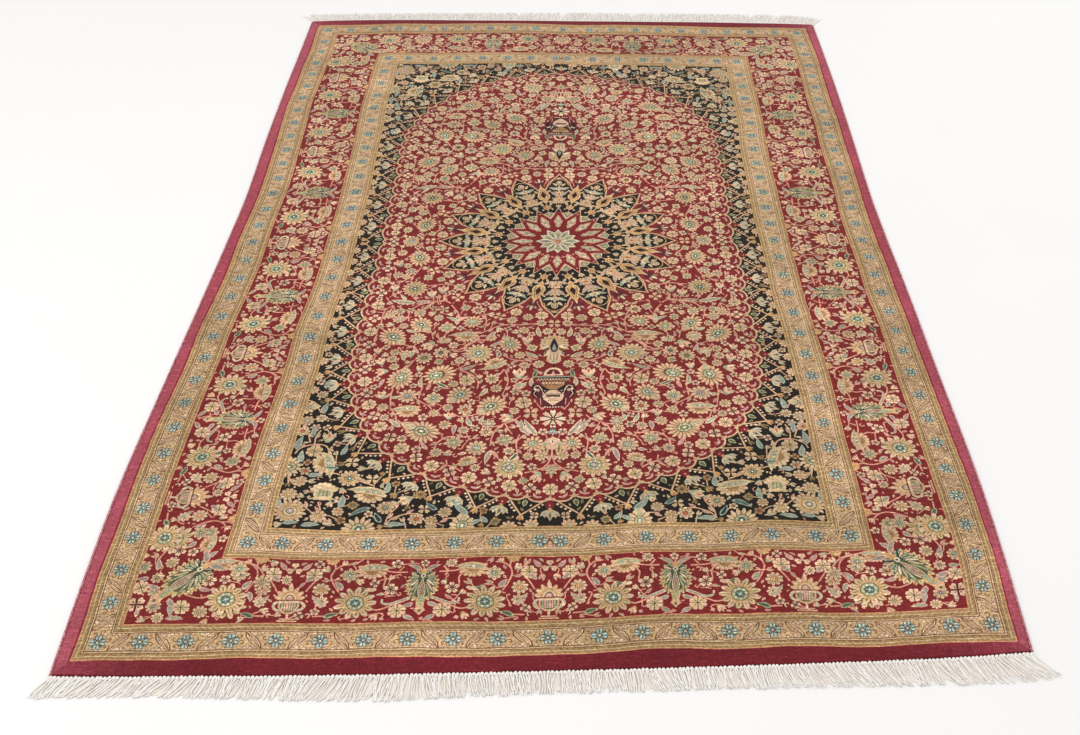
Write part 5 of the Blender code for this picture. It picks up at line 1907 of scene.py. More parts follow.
def side_line(name, y):
    return reading(SIDES, 1 if name == "left" else 2, y)


def end_line(name, x):
    return reading(ENDS, 1 if name == "near" else 2, x)


def between(value, knots, targets):
    """Straight lines between knots whose targets are arrays of their own."""
    out = np.array(targets[0], float) + 0 * value
    for k in range(len(knots) - 1):
        a, b = knots[k], knots[k + 1]
        t = np.clip((value - a) / (b - a), 0, 1)
        out = np.where(value >= a, targets[k] + (targets[k + 1] - targets[k]) * t, out)
    return out


def wander(x, y, seed):
    """The slow drift of a hand-made drawing, in metres."""
    return (
        0.0011 * np.sin(x * 9.1 + y * 5.3 + seed)
        + 0.0009 * np.sin(x * -14.7 + y * 11.9 + seed * 2.3)
        + 0.0006 * np.sin(x * 31.0 + y * -23.0 + seed * 0.7)
        + 0.00030 * np.sin(x * 97.0 + y * 131.0 + seed * 1.9)
        + 0.00022 * np.sin(x * -211.0 + y * 163.0 + seed * 3.1)
    )


def lay(x, y, sx, sy):
    """Where a point of the drawing lies on the real rug, in plan. x and y are 0 or more; sx and sy pick the quarter."""
    side, end = ("right" if sx > 0 else "left"), ("far" if sy > 0 else "near")
    xk = (0.0, FIELD[0], BORDER_IN[0], GUARD_IN[0], GUARD_OUT[0], EDGE[0])
    yk = (0.0, FIELD[1], BORDER_IN[1], GUARD_IN[1], GUARD_OUT[1], EDGE[1])
    g, b, f = BANDS[side]
    gy, by, fy = BANDS[end]
    X = MIDDLE[0] + x * sx
    Y = MIDDLE[1] + y * sy
    for _ in range(4):
        line = reading(GUARD_SIDES, 1 if sx < 0 else 2, Y)
        rim = side_line(side, Y) - sx * (SELVEDGE_DIAMETER + PIECE_GAP)
        X = between(x, xk, (MIDDLE[0] + 0 * Y, line - sx * f, line - sx * b, line - sx * g, line, rim))
        line = reading(GUARD_ENDS, 1 if sy < 0 else 2, X)
        Y = between(y, yk, (MIDDLE[1] + 0 * X, line - sy * fy, line - sy * by, line - sy * gy, line, end_line(end, X)))
    calm = np.clip((EDGE[0] - x) / 0.03, 0, 1) * np.clip((EDGE[1] - y) / 0.03, 0, 1)
    return X + wander(X, Y, 0.6) * calm, Y + wander(X, Y, 4.4) * calm


def pile_top(x, y):
    height = PILE_HEIGHT + 0 * x
    for tall, across, along, phase in WAVES:
        height = height + tall / 1000 * (1 + np.sin(TAU * (x * 1000 / across + y * 1000 / along) + phase)) / 2
    return height


def cross(a, b, c):
    return (b[:, 0] - a[:, 0]) * (c[:, 1] - a[:, 1]) - (c[:, 0] - a[:, 0]) * (b[:, 1] - a[:, 1])


def turned_ccw(points, tris):
    area = cross(points[tris[:, 0]], points[tris[:, 1]], points[tris[:, 2]]) / 2
    tris = tris.copy()
    tris[area < 0] = tris[area < 0][:, ::-1]
    return tris, np.abs(area)


def sides_of(tris):
    """Each triangle's three sides in order, with the triangle they belong to on their left."""
    ends = np.concatenate([tris[:, [0, 1]], tris[:, [1, 2]], tris[:, [2, 0]]])
    return ends, np.tile(np.arange(len(tris)), 3)


def paint_regions(shapes):
    """Splits the plane by all the outlines and says which shape shows in each triangle."""
    reach = (EDGE[0] + 0.0046, EDGE[1] + 0.0046)
    verts, faces = [], []
    for points, _, _ in shapes:
        after = np.roll(points, -1, axis=0)
        at = len(verts)
        for (px, py), (qx, qy) in zip(points, after):
            n = max(1, int(math.hypot(qx - px, qy - py) / 0.020))
            for k in range(n):
                verts.append(Vector((min(px + (qx - px) * k / n, reach[0]), min(py + (qy - py) * k / n, reach[1]))))
        faces.append(list(range(at, len(verts))))
    out = delaunay_2d_cdt(verts, [], faces, 1, 2e-6)
    points = np.array([(v[0], v[1]) for v in out[0]])
    tris, area = turned_ccw(points, np.array([list(face) for face in out[2]]))
    # A shape that crosses itself can be read as the whole sheet, so one that comes back larger than it is drawn is left out.
    counts = np.array([len(owners) for owners in out[5]])
    every = np.array([k for owners in out[5] for k in owners])
    covered = np.bincount(every, np.repeat(area, counts), len(shapes))
    drawn = np.array([abs(cross(shape[:1].repeat(len(shape), 0), shape, np.roll(shape, -1, axis=0)).sum()) / 2 for shape, _, _ in shapes])
    whole = covered < drawn * 1.5 + 2e-4
    top = np.array([max([k for k in owners if whole[k]], default=-1) for owners in out[5]])
    return points, tris, top


def tile(shapes, grid, slack=0.00008):
    """Triangles that tile the quarter and, for each, its shape: only the outlines that show are kept, and points that
    lie within slack of a straight line are dropped."""
    points, tris, top = paint_regions(shapes)
    kinds = {}
    look = np.array([kinds.setdefault((dye, round(tone * 6)), len(kinds)) for _, dye, tone in shapes] + [-1])
    sample = {}
    for k, (_, dye, tone) in enumerate(shapes):
        sample.setdefault(look[k], k)
    shade = look[top]
    ends, owner = sides_of(tris)
    size = len(points)
    there = ends[:, 0].astype(np.int64) * size + ends[:, 1]
    back = ends[:, 1].astype(np.int64) * size + ends[:, 0]
    order = np.argsort(there)
    at = np.searchsorted(there[order], back)
    at = np.minimum(at, len(order) - 1)
    match = there[order][at] == back
    right = np.where(match, shade[owner[order[at]]], -2)
    left = shade[owner]
    keep = (left != right) & ((ends[:, 0] < ends[:, 1]) | ~match)
    # outlines as links between points, then the nearly straight ones joined
    links = {}
    for (u, v), l, r in zip(ends[keep].tolist(), left[keep].tolist(), right[keep].tolist()):
        links.setdefault(u, {})[v] = (l, r)
        links.setdefault(v, {})[u] = (r, l)
    xy = points.tolist()
    for _ in range(3):
        for v in list(links):
            near = links.get(v)
            if near is None or len(near) != 2:
                continue
            (u, vu), (w, vw) = near.items()
            if w in links[u]:
                continue
            ux, uy = xy[u]
            wx, wy = xy[w]
            dx, dy = wx - ux, wy - uy
            d = math.hypot(dx, dy)
            if d > 0.016 or d < 1e-7:
                continue
            off = abs((xy[v][0] - ux) * dy - (xy[v][1] - uy) * dx) / d
            if off > slack:
                continue
            if vw != (vu[1], vu[0]):
                continue
            del links[u][v], links[w][v], links[v]
            links[u][w] = vw
            links[w][u] = (vw[1], vw[0])
    index, verts, edges, sides = {}, [], [], []
    for u, others in links.items():
        for v, (l, r) in others.items():
            if u < v:
                pair = []
                for p in (u, v):
                    if p not in index:
                        index[p] = len(verts)
                        verts.append(Vector(xy[p]))
                    pair.append(index[p])
                edges.append(tuple(pair))
                sides.append((l, r))
    for a in np.linspace(0, EDGE[0] - 0.004, grid[0]):
        for b in np.linspace(0, EDGE[1] - 0.004, grid[1]):
            verts.append(Vector((float(a), float(b))))
    out = delaunay_2d_cdt(verts, edges, [], 0, 2e-6)
    points = np.array([(v[0], v[1]) for v in out[0]])
    tris, area = turned_ccw(points, np.array([list(face) for face in out[2]]))
    start = np.array([xy_ for xy_ in ((verts[a][0], verts[a][1]) for a, _ in edges)])
    stop = np.array([xy_ for xy_ in ((verts[b][0], verts[b][1]) for _, b in edges)])
    size = len(points)
    fixed = {}
    for (a, b), origin in zip(out[1], out[4]):
        if not origin:
            continue
        e = origin[0]
        way = (points[b] - points[a]) @ (stop[e] - start[e])
        l, r = sides[e]
        fixed[a * size + b] = l if way > 0 else r
        fixed[b * size + a] = r if way > 0 else l
    ends, owner = sides_of(tris)
    there = ends[:, 0].astype(np.int64) * size + ends[:, 1]
    back = ends[:, 1].astype(np.int64) * size + ends[:, 0]
    wall = np.array([fixed.get(k, -9) for k in there.tolist()])
    colour = np.full(len(tris), -9)
    has = wall > -9
    colour[owner[has]] = wall[has]
    order = np.argsort(there)
    at = np.minimum(np.searchsorted(there[order], back), len(order) - 1)
    match = there[order][at] == back
    other = owner[order[at]]
    free = match & ~has
    for _ in range(400):
        want = free & (colour[owner] == -9) & (colour[other] != -9)
        if not want.any():
            break
        colour[owner[want]] = colour[other[want]]
    good = (colour >= 0) & (area > 1e-11)
    return points, tris[good], np.array([sample[k] for k in colour[good].tolist()])


def mesh_piece(name, points, faces, material, colours=None, uv=None, smooth=True):
    mesh = bpy.data.meshes.new(name)
    mesh.vertices.add(len(points))
    mesh.vertices.foreach_set("co", np.asarray(points, np.float32).ravel())
    faces = np.asarray(faces, np.int32)
    n, k = faces.shape
    mesh.loops.add(n * k)
    mesh.loops.foreach_set("vertex_index", faces.ravel())
    mesh.polygons.add(n)
    mesh.polygons.foreach_set("loop_start", np.arange(0, n * k, k, dtype=np.int32))
    mesh.update(calc_edges=True)
    if colours is not None:
        layer = mesh.color_attributes.new("dye", "BYTE_COLOR", "CORNER")
        layer.data.foreach_set("color_srgb", np.repeat(np.column_stack([colours, np.ones(len(colours))]), k, axis=0).astype(np.float32).ravel())
    if uv is not None:
        layer = mesh.uv_layers.new(name="OFBake")
        layer.uv.foreach_set("vector", np.asarray(uv, np.float32)[faces.ravel()].ravel())
    mesh.validate()
    if smooth:
        mesh.shade_smooth()
    obj = bpy.data.objects.new(name, mesh)
    bpy.context.scene.collection.objects.link(obj)
    mesh.materials.append(material)
    return obj


def rolled(X, Y, x, y, sx, sy):
    """Height of the pile, and how it rolls over the outer edge; x and y are in the drawing, past EDGE for the roll."""
    top = pile_top(X, Y)
    over = np.maximum(x - (EDGE[0] - ROLL), y - (EDGE[1] - ROLL))
    turn = np.clip(over / ROLL, 0, math.pi / 2)
    z = top - ROLL * (1 - np.cos(turn))
    down = np.clip((over - ROLL * math.pi / 2) / 0.0030, 0, 1)
    return z * (1 - down) + 0.0004 * down


def pile_points(points, sx, sy):
    x, y = points[:, 0], points[:, 1]
    inx = np.minimum(x, EDGE[0])
    iny = np.minimum(y, EDGE[1])
    # the roll is drawn a little past the edge, and lies on the edge's own line
    px = np.where(x > EDGE[0] - ROLL, EDGE[0] - ROLL + ROLL * np.sin(np.clip((x - EDGE[0] + ROLL) / ROLL, 0, math.pi / 2)), x)
    py = np.where(y > EDGE[1] - ROLL, EDGE[1] - ROLL + ROLL * np.sin(np.clip((y - EDGE[1] + ROLL) / ROLL, 0, math.pi / 2)), y)
    X, Y = lay(np.minimum(px, inx), np.minimum(py, iny), sx, sy)
    return np.column_stack([X, Y, rolled(X, Y, x, y, sx, sy)])
# ---- pile, back, cords and fringe -----------------------------------------------------------------------------------

QUARTERS = (("near_left", -1, -1), ("near_right", 1, -1), ("far_left", -1, 1), ("far_right", 1, 1))


def dyed(shapes, top, lift=1.0):
    """A finished colour for every triangle, from the shape it belongs to."""
    table = np.array([np.array(DYES[dye]) / 255 * (1 + 0.05 * np.clip(tone, -1, 1)) for _, dye, tone in shapes])
    return np.clip(table[top] * lift, 0, 1)


def extent(points):
    after = np.roll(points, -1, axis=0)
    return abs((points[:, 0] * after[:, 1] - after[:, 0] * points[:, 1]).sum()) / 2


def knotted_pile(material, shapes):
    """The pile in four quarters. The far ones are seen from farther off, so their finest strokes are left out."""
    rim = Art()
    for d in (-ROLL, -ROLL * 0.5, 0.0, ROLL * 0.45, 0.0022, 0.0045):
        rim.tone = 2.0 * (d > -ROLL)
        rim.corner_band(EDGE[0] + d, EDGE[1] + d, EDGE[0] + 0.006, EDGE[1] + 0.006, "band_red")
        rim.tone += 0.4
    made = []
    for names, least, slack in ((("near_left", "near_right"), 0.9e-6, 0.00017), (("far_left", "far_right"), 7.0e-6, 0.00036)):
        kept = [shape for shape in shapes if extent(shape[0]) > least] + rim.shapes
        points, tris, top = tile(kept, (29, 44), slack)
        colours = dyed(kept, top)
        for name, sx, sy in QUARTERS:
            if name not in names:
                continue
            placed = pile_points(points, sx, sy)
            faces = tris if sx * sy > 0 else tris[:, ::-1]
            uv = np.column_stack([points[:, 0] / (EDGE[0] + 0.006), points[:, 1] / (EDGE[1] + 0.006)]) * 0.996 + 0.002
            made.append(mesh_piece("pile_" + name, placed, faces, material, colours, uv))
    return made


def knotted_back(material, shapes):
    """The underside, where the same drawing shows as rows of knots: a coarser tiling of the larger shapes."""
    keep = [shape for shape in shapes if extent(shape[0]) > 1.6e-4]
    points, tris, top = tile(keep, (13, 19), 0.0007)
    colours = dyed(keep, top, 0.93)
    made = []
    for name, sx, sy in QUARTERS:
        x = np.minimum(points[:, 0], EDGE[0] - 0.0010)
        y = np.minimum(points[:, 1], EDGE[1] - 0.0010)
        X, Y = lay(x, y, sx, sy)
        placed = np.column_stack([X, Y, np.full(len(X), 0.0004)])
        faces = tris[:, ::-1] if sx * sy > 0 else tris
        uv = np.column_stack([points[:, 0] / (EDGE[0] + 0.006), points[:, 1] / (EDGE[1] + 0.006)]) * 0.996 + 0.002
        made.append(mesh_piece("back_" + name, placed, faces, material, colours, uv))
    return made


def overcast_cord(name, side, ends, material):
    """Yarn wound round the side cord: a tube whose rings swell and sink with each turn."""
    out = -1 if side == "left" else 1
    y0 = end_line("near", side_line(side, np.array([-1.08])))[0] + PIECE_GAP
    y1 = end_line("far", side_line(side, np.array([1.07])))[0] - PIECE_GAP
    middle = MIDDLE[1]
    y0, y1 = (y0, middle) if ends == "near" else (middle, y1)
    step = 0.00100
    n = int((y1 - y0) / step) + 1
    y = np.linspace(y0, y1, n)
    r = SELVEDGE_DIAMETER / 2
    x = side_line(side, y) - out * r
    sides = 7
    a = np.arange(sides) * TAU / sides
    turn = TAU * y[:, None] / 0.0044 + a[None, :] * 1.0
    swell = 0.90 + 0.075 * np.cos(turn) + 0.03 * np.sin(y[:, None] * 210 + 1.7 * np.sin(y[:, None] * 47))
    rr = r * np.minimum(swell, 1.0)
    px = x[:, None] + rr * np.cos(a)[None, :]
    pz = r + rr * np.sin(a)[None, :]
    points = np.stack([px, np.repeat(y[:, None], sides, 1), pz], 2).reshape(-1, 3)
    i = np.arange(n - 1)[:, None] * sides + np.arange(sides)[None, :]
    j = np.arange(n - 1)[:, None] * sides + (np.arange(sides)[None, :] + 1) % sides
    quads = np.stack([i, j, j + sides, i + sides], 2).reshape(-1, 4)
    obj = mesh_piece(name, points, quads, material)
    return obj


NEAR_FRINGE = np.array(
    (
        (-703, -1119.0, -33),
        (-640, -1119.5, -36),
        (-520, -1122.5, -26),
        (-400, -1129.5, -16),
        (-320, -1133.0, -26),
        (-235, -1135.5, -8),
        (-130, -1132.0, 6),
        (0, -1129.5, 9),
        (160, -1129.0, 12),
        (350, -1129.0, 22),
        (550, -1129.5, 24),
        (640, -1127.0, 31),
        (693, -1117.0, 44),
    )
)
FAR_FRINGE = np.array(
    (
        (-703, 1113.0, -34),
        (-660, 1126.0, -22),
        (-560, 1133.0, -10),
        (-297, 1138.5, -6),
        (-16, 1143.5, 3),
        (383, 1140.5, 5),
        (560, 1134.0, 12),
        (650, 1125.0, 26),
        (692, 1108.0, 36),
    )
)


def warp_fringe(name, which, rows, material, rng):
    """Knotted warps: a row of knots against the rug's end, and twisted strands in layers on the floor beyond it."""
    out = -1.0 if which == "near" else 1.0
    left = side_line("left", np.array([out * 1.05]))[0] + 0.0025
    right = side_line("right", np.array([out * 1.05]))[0] - 0.0025
    knots = 240
    pitch = (right - left) / knots
    points, faces, colours = [], [], []
    count = 0

    def add(p, f, tone):
        nonlocal count
        points.append(p)
        faces.append(np.asarray(f) + count)
        colours.append(np.full(len(f), tone) if np.ndim(tone) == 0 else tone)
        count += len(p)

    def lean_at(x):  # in degrees
        return reading(rows, 2, np.atleast_1d(x)) * 1000.0

    # the bed: strands pressed together, which show as close ridges under the loose ones
    ridges, steps = 620, 7
    x0 = np.linspace(left, right, ridges + 1)
    edge = end_line(which, x0)
    reach = reading(rows, 1, x0)
    lean = np.radians(lean_at(x0) * 0.85 + 4.0 * np.sin(x0 * 19.0 + out))
    stop = 0.80 + 0.07 * np.sin(x0 * 57.0) + rng.uniform(-0.05, 0.05, ridges + 1)
    s = np.linspace(0, 1, steps + 1)[:, None] * stop[None, :]
    root = edge + out * (PIECE_GAP + 0.0006)
    bx = x0[None, :] + np.abs(reach - root)[None, :] * np.tan(lean)[None, :] * s
    by = root[None, :] + (reach - root)[None, :] * s
    ridge = (np.arange(ridges + 1) % 2)[None, :]
    bz = 0.0006 + (0.0011 * ridge + 0.0003 * rng.uniform(0, 1, ridges + 1)[None, :]) * (1 - 0.5 * s) + 0.0008 * (1 - s) ** 3
    bz[-1] = 0.0003
    bed = np.stack([bx, by, bz], 2).reshape(-1, 3)
    w = ridges + 1
    k = (np.arange(steps)[:, None] * w + np.arange(ridges)[None, :]).ravel()
    quads = np.stack([k, k + 1, k + 1 + w, k + w], 1)
    if out < 0:
        quads = quads[:, ::-1]
    # the bed's lower tone is painted shade under the loose strands
    shade = 0.40 + 0.14 * rng.uniform(-1, 1, ridges)
    add(bed, quads, np.tile(shade, steps))

    # the loose strands: they lean in tufts, and cross
    total = 740
    seg, sides = 8, 5
    s = np.linspace(0, 1, seg + 1)
    tuft_lean = rng.normal(0, 5.5, total // 4)
    tuft_reach = rng.uniform(-0.0030, 0.0012, total // 4)
    tuft = 0
    left_in_tuft = 4
    for i in range(total):
        left_in_tuft -= 1
        if left_in_tuft <= 0:
            tuft += 1
            left_in_tuft = int(rng.integers(4, 11))
        layer = i % 3
        x0 = left + (right - left) * (i + 0.5) / total + rng.normal(0, 0.0006)
        edge = end_line(which, np.array([x0]))[0]
        root = edge + out * (PIECE_GAP + 0.0026)
        reach = reading(rows, 1, np.array([x0]))[0] + out * (-0.0008 + tuft_reach[tuft] * 0.7 + rng.uniform(-0.0022, 0.0006))
        wave = 4.0 * math.sin(x0 * 23.0 + 1.3 * out) + 3.0 * math.sin(x0 * 61.0 + out) + tuft_lean[tuft] + rng.normal(0, 5.0)
        lean = math.radians(float(lean_at(x0)[0]) + wave)
        drop = reach - root
        dx = abs(drop) * math.tan(lean)
        bend = rng.normal(0, 0.0024)
        x = x0 + dx * (0.70 * s + 0.30 * s**2) + bend * np.sin(math.pi * s)
        y = root + drop * s
        lift = (0.0014, 0.0026, 0.0036)[layer] + rng.uniform(-0.0003, 0.0003)
        z = 0.0010 + 0.0019 * (1 - s) ** 2 + (lift - 0.0010) * np.sin(math.pi * np.clip(s * 0.9 + 0.06, 0, 1)) ** 0.8 * 0.75
        wide = 0.00098 * (1 + rng.uniform(-0.12, 0.12)) * (1 - 0.35 * s**7)
        d = np.stack([np.gradient(x), np.gradient(y)], 1)
        d /= np.linalg.norm(d, axis=1, keepdims=True)
        nx, ny = -d[:, 1], d[:, 0]
        spin = s * abs(drop) / 0.0110 * TAU + rng.uniform(0, TAU)
        a = np.arange(sides) * TAU / sides
        lobes = 1 + 0.16 * np.cos(2 * (a[None, :] - spin[:, None]))
        u = wide[:, None] * lobes * np.cos(a)[None, :]
        v = 0.00080 * lobes * np.sin(a)[None, :]
        p = np.stack([x[:, None] + nx[:, None] * u, y[:, None] + ny[:, None] * u, np.maximum(z[:, None] + v, 0.0002)], 2).reshape(-1, 3)
        k = np.arange(seg)[:, None] * sides + np.arange(sides)[None, :]
        m = np.arange(seg)[:, None] * sides + (np.arange(sides)[None, :] + 1) % sides
        q = np.stack([k, m, m + sides, k + sides], 2).reshape(-1, 4)
        # the lower layers' lower tone is painted shade under the upper ones
        add(p, q, 0.62 + 0.10 * (layer - 1) + np.clip(rng.normal(0, 0.10), -0.2, 0.2))
    # knots: one to every pair or so, round and a little irregular
    rings, around = 5, 8
    for i in range(knots):
        x0 = left + pitch * (i + 0.5) + rng.normal(0, 0.00030)
        edge = end_line(which, np.array([x0]))[0]
        cy = edge + out * (0.0028 + rng.uniform(-0.0004, 0.0006))
        th = np.linspace(0.12, math.pi - 0.12, rings)
        ph = np.arange(around) * TAU / around
        rx, ry, rz = 0.0028, 0.0027 + rng.uniform(-0.0003, 0.0004), 0.0022
        sh = rng.normal(0, 0.15)
        px = x0 + rx * np.sin(th)[:, None] * np.cos(ph)[None, :] + sh * ry * np.sin(th)[:, None] * np.sin(ph)[None, :]
        py = cy + ry * np.sin(th)[:, None] * np.sin(ph)[None, :]
        pz = 0.0036 + rz * np.cos(th)[:, None] + 0 * ph[None, :]
        p = np.stack([px, py, pz], 2).reshape(-1, 3)
        k = np.arange(rings - 1)[:, None] * around + np.arange(around)[None, :]
        m = np.arange(rings - 1)[:, None] * around + (np.arange(around)[None, :] + 1) % around
        q = np.stack([k, k + around, m + around, m], 2).reshape(-1, 4)
        cap = np.array([[0, 1, 2, 3], [0, 3, 4, 7], [4, 5, 6, 7]])
        add(p, np.vstack([q, cap]), 0.78 + rng.normal(0, 0.05))
    tone = np.concatenate(colours)
    obj = mesh_piece(name, np.vstack(points), np.vstack(faces), material, np.repeat(tone[:, None], 3, 1))
    return obj
# ==== materials ==================================================================================================


class Nodes:
    """A short way to write a node tree."""

    def __init__(self, name):
        self.material = bpy.data.materials.new(name)
        self.material.use_nodes = True
        self.tree = self.material.node_tree
        self.shader = self.tree.nodes["Principled BSDF"]

    def new(self, kind, **settings):
        made = self.tree.nodes.new("ShaderNode" + kind)
        for key, value in settings.items():
            setattr(made, key, value)
        return made

    def link(self, source, target):
        self.tree.links.new(source, target)

    def fill(self, socket, value):
        if isinstance(value, bpy.types.NodeSocket):
            self.link(value, socket)
        else:
            socket.default_value = value

    def math(self, operation, a, b=0.5, c=0.5, clamp=False):
        node = self.new("Math", operation=operation, use_clamp=clamp)
        for socket, value in zip(node.inputs, (a, b, c)):
            self.fill(socket, value)
        return node.outputs[0]

    def mix(self, blend, factor, a, b):
        node = self.new("Mix", data_type="RGBA", blend_type=blend)
        self.fill(node.inputs[0], factor)
        self.fill(node.inputs[6], a)
        self.fill(node.inputs[7], b)
        return node.outputs[2]

    def ramp(self, value, low, high, to_low=0.0, to_high=1.0):
        node = self.new("MapRange")
        node.clamp = True
        for socket, v in zip(node.inputs, (value, low, high, to_low, to_high)):
            self.fill(socket, v)
        return node.outputs[0]

    def place(self, scale, turn=0.0, shift=(0, 0, 0)):
        """Object coordinates, scaled so that one unit is one cell."""
        coords = self.new("TexCoord")
        mapping = self.new("Mapping")
        mapping.inputs["Scale"].default_value = scale
        mapping.inputs["Rotation"].default_value = (0, 0, turn)
        mapping.inputs["Location"].default_value = shift
        self.link(coords.outputs["Object"], mapping.inputs["Vector"])
        return mapping.outputs[0]

    def noise(self, vector, scale=1.0, detail=2.0, rough=0.5, distortion=0.0):
        node = self.new("TexNoise")
        self.link(vector, node.inputs["Vector"])
        node.inputs["Scale"].default_value = scale
        node.inputs["Detail"].default_value = detail
        node.inputs["Roughness"].default_value = rough
        node.inputs["Distortion"].default_value = distortion
        return node.outputs[0]

    def grey(self, value):
        node = self.new("CombineColor")
        for i in range(3):
            self.link(value, node.inputs[i])
        return node.outputs[0]


def wool(name, bump=1.0, sheen=0.05):
    """Knotted wool: the drawing's dyes, uneven dye lots in bands along the weft, single knots, and short fibre."""
    n = Nodes(name)
    dye = n.new("Attribute", attribute_name="dye", attribute_type="GEOMETRY").outputs["Color"]
    # a knot is about 1.4 mm each way; the cells are jittered as tied knots are
    cell = n.new("TexVoronoi", feature="F1", distance="EUCLIDEAN")
    n.link(n.place((700, 640, 700)), cell.inputs["Vector"])
    cell.inputs["Scale"].default_value = 1.0
    cell.inputs["Randomness"].default_value = 0.62
    per_knot = n.new("SeparateColor")
    n.link(cell.outputs["Color"], per_knot.inputs[0])
    knot_tone = n.ramp(per_knot.outputs[0], 0.0, 1.0, 0.86, 1.14)
    # rows of weft show as faint streaks across the rug
    streak = n.ramp(n.noise(n.place((26, 520, 20)), 1.0, 2.0, 0.6), 0.3, 0.7, 0.90, 1.10)
    lots = n.ramp(n.noise(n.place((1.6, 16, 4), shift=(3.1, 0.7, 0)), 1.0, 3.0, 0.55), 0.30, 0.70, 0.90, 1.10)
    clouds = n.ramp(n.noise(n.place((7, 9, 5)), 1.0, 3.0, 0.6), 0.3, 0.7, 0.93, 1.07)
    mottle = n.ramp(n.noise(n.place((150, 170, 90)), 1.0, 2.0, 0.6), 0.3, 0.7, 0.86, 1.14)
    grain = n.ramp(n.noise(n.place((360, 420, 300)), 1.0, 2.0, 0.7), 0.3, 0.7, 0.84, 1.16)
    value = n.math("MULTIPLY", knot_tone, streak)
    for factor in (lots, clouds, mottle, grain):
        value = n.math("MULTIPLY", value, factor)
    base = n.mix("MULTIPLY", 1.0, dye, n.grey(value))
    # painted highlights: knots that face the light end-on, brightened at random
    pale = n.ramp(per_knot.outputs[1], 0.90, 1.0, 0.0, 0.45)
    base = n.mix("MULTIPLY", pale, base, (2.2, 2.0, 1.9, 1))
    # dye that has run and fibre that has browned, in small uneven spots
    tea = n.ramp(n.noise(n.place((230, 260, 200), shift=(4.4, 1.2, 0)), 1.0, 3.0, 0.65), 0.42, 0.70, 0.0, 0.75)
    base = n.mix("MULTIPLY", tea, base, (0.66, 0.52, 0.40, 1))
    # threads that catch the light, short and along the weft
    glint = n.ramp(n.noise(n.place((64, 560, 60), shift=(1.3, 8.1, 0)), 1.0, 2.0, 0.6), 0.56, 0.74, 0.0, 0.60)
    base = n.mix("MULTIPLY", glint, base, (2.1, 2.6, 2.4, 1))
    # painted sheen: large soft patches painted pinker and lighter, where the pile lies over and faces away from the
    # light
    pile_sheen = n.ramp(n.noise(n.place((2.3, 5.2, 2), shift=(9.2, 4.4, 0)), 1.0, 3.0, 0.55, 0.4), 0.44, 0.70, 0.0, 0.60)
    base = n.mix("MULTIPLY", pile_sheen, base, (1.35, 1.30, 1.40, 1))
    n.link(base, n.shader.inputs["Base Color"])
    n.shader.inputs["Roughness"].default_value = 0.86
    n.shader.inputs["Specular IOR Level"].default_value = 0.22
    n.shader.inputs["Sheen Weight"].default_value = sheen
    n.shader.inputs["Sheen Roughness"].default_value = 0.45
    n.shader.inputs["Sheen Tint"].default_value = (1.0, 0.80, 0.80, 1)
    # relief: each knot a small mound, rows between, soft unevenness
    mound = n.ramp(cell.outputs["Distance"], 0.0, 0.75, 1.0, 0.0)
    fibre = n.noise(n.place((1900, 2100, 1900)), 1.0, 1.0, 0.5)
    tall = n.math("ADD", n.math("MULTIPLY", mound, 0.55), n.math("MULTIPLY", fibre, 0.35))
    tall = n.math("ADD", tall, n.math("MULTIPLY", n.noise(n.place((70, 90, 60)), 1.0, 2.0, 0.5), 0.9))
    relief = n.new("Bump")
    relief.inputs["Strength"].default_value = 0.55 * bump
    relief.inputs["Distance"].default_value = 0.0011
    n.link(tall, relief.inputs["Height"])
    n.link(relief.outputs[0], n.shader.inputs["Normal"])
    return n.material


def knotted_underside(name):
    """The back: every knot shows as two small loops, in rows, and the drawing is as clear as on the pile."""
    n = Nodes(name)
    dye = n.new("Attribute", attribute_name="dye", attribute_type="GEOMETRY").outputs["Color"]
    cell = n.new("TexVoronoi", feature="F1", distance="CHEBYCHEV")
    n.link(n.place((820, 640, 700)), cell.inputs["Vector"])
    cell.inputs["Scale"].default_value = 1.0
    cell.inputs["Randomness"].default_value = 0.18
    per = n.new("SeparateColor")
    n.link(cell.outputs["Color"], per.inputs[0])
    tone = n.ramp(per.outputs[0], 0.0, 1.0, 0.84, 1.12)
    # painted shade: the gaps between knots are darkened to 0.55 of the colour; the same mask is the bump height
    gap = n.ramp(cell.outputs["Distance"], 0.34, 0.52, 1.0, 0.55)
    value = n.math("MULTIPLY", n.math("MULTIPLY", tone, gap), n.ramp(n.noise(n.place((1.6, 16, 4)), 1.0, 3.0, 0.55), 0.3, 0.7, 0.92, 1.08))
    base = n.mix("MULTIPLY", 1.0, dye, n.grey(value))
    base = n.mix("MIX", n.ramp(per.outputs[1], 0.93, 1.0, 0.0, 0.4), base, (0.66, 0.56, 0.46, 1))
    n.link(base, n.shader.inputs["Base Color"])
    n.shader.inputs["Roughness"].default_value = 0.9
    n.shader.inputs["Specular IOR Level"].default_value = 0.2
    relief = n.new("Bump")
    relief.inputs["Strength"].default_value = 0.7
    relief.inputs["Distance"].default_value = 0.0006
    n.link(n.math("MULTIPLY", gap, 1.0), relief.inputs["Height"])
    n.link(relief.outputs[0], n.shader.inputs["Normal"])
    return n.material


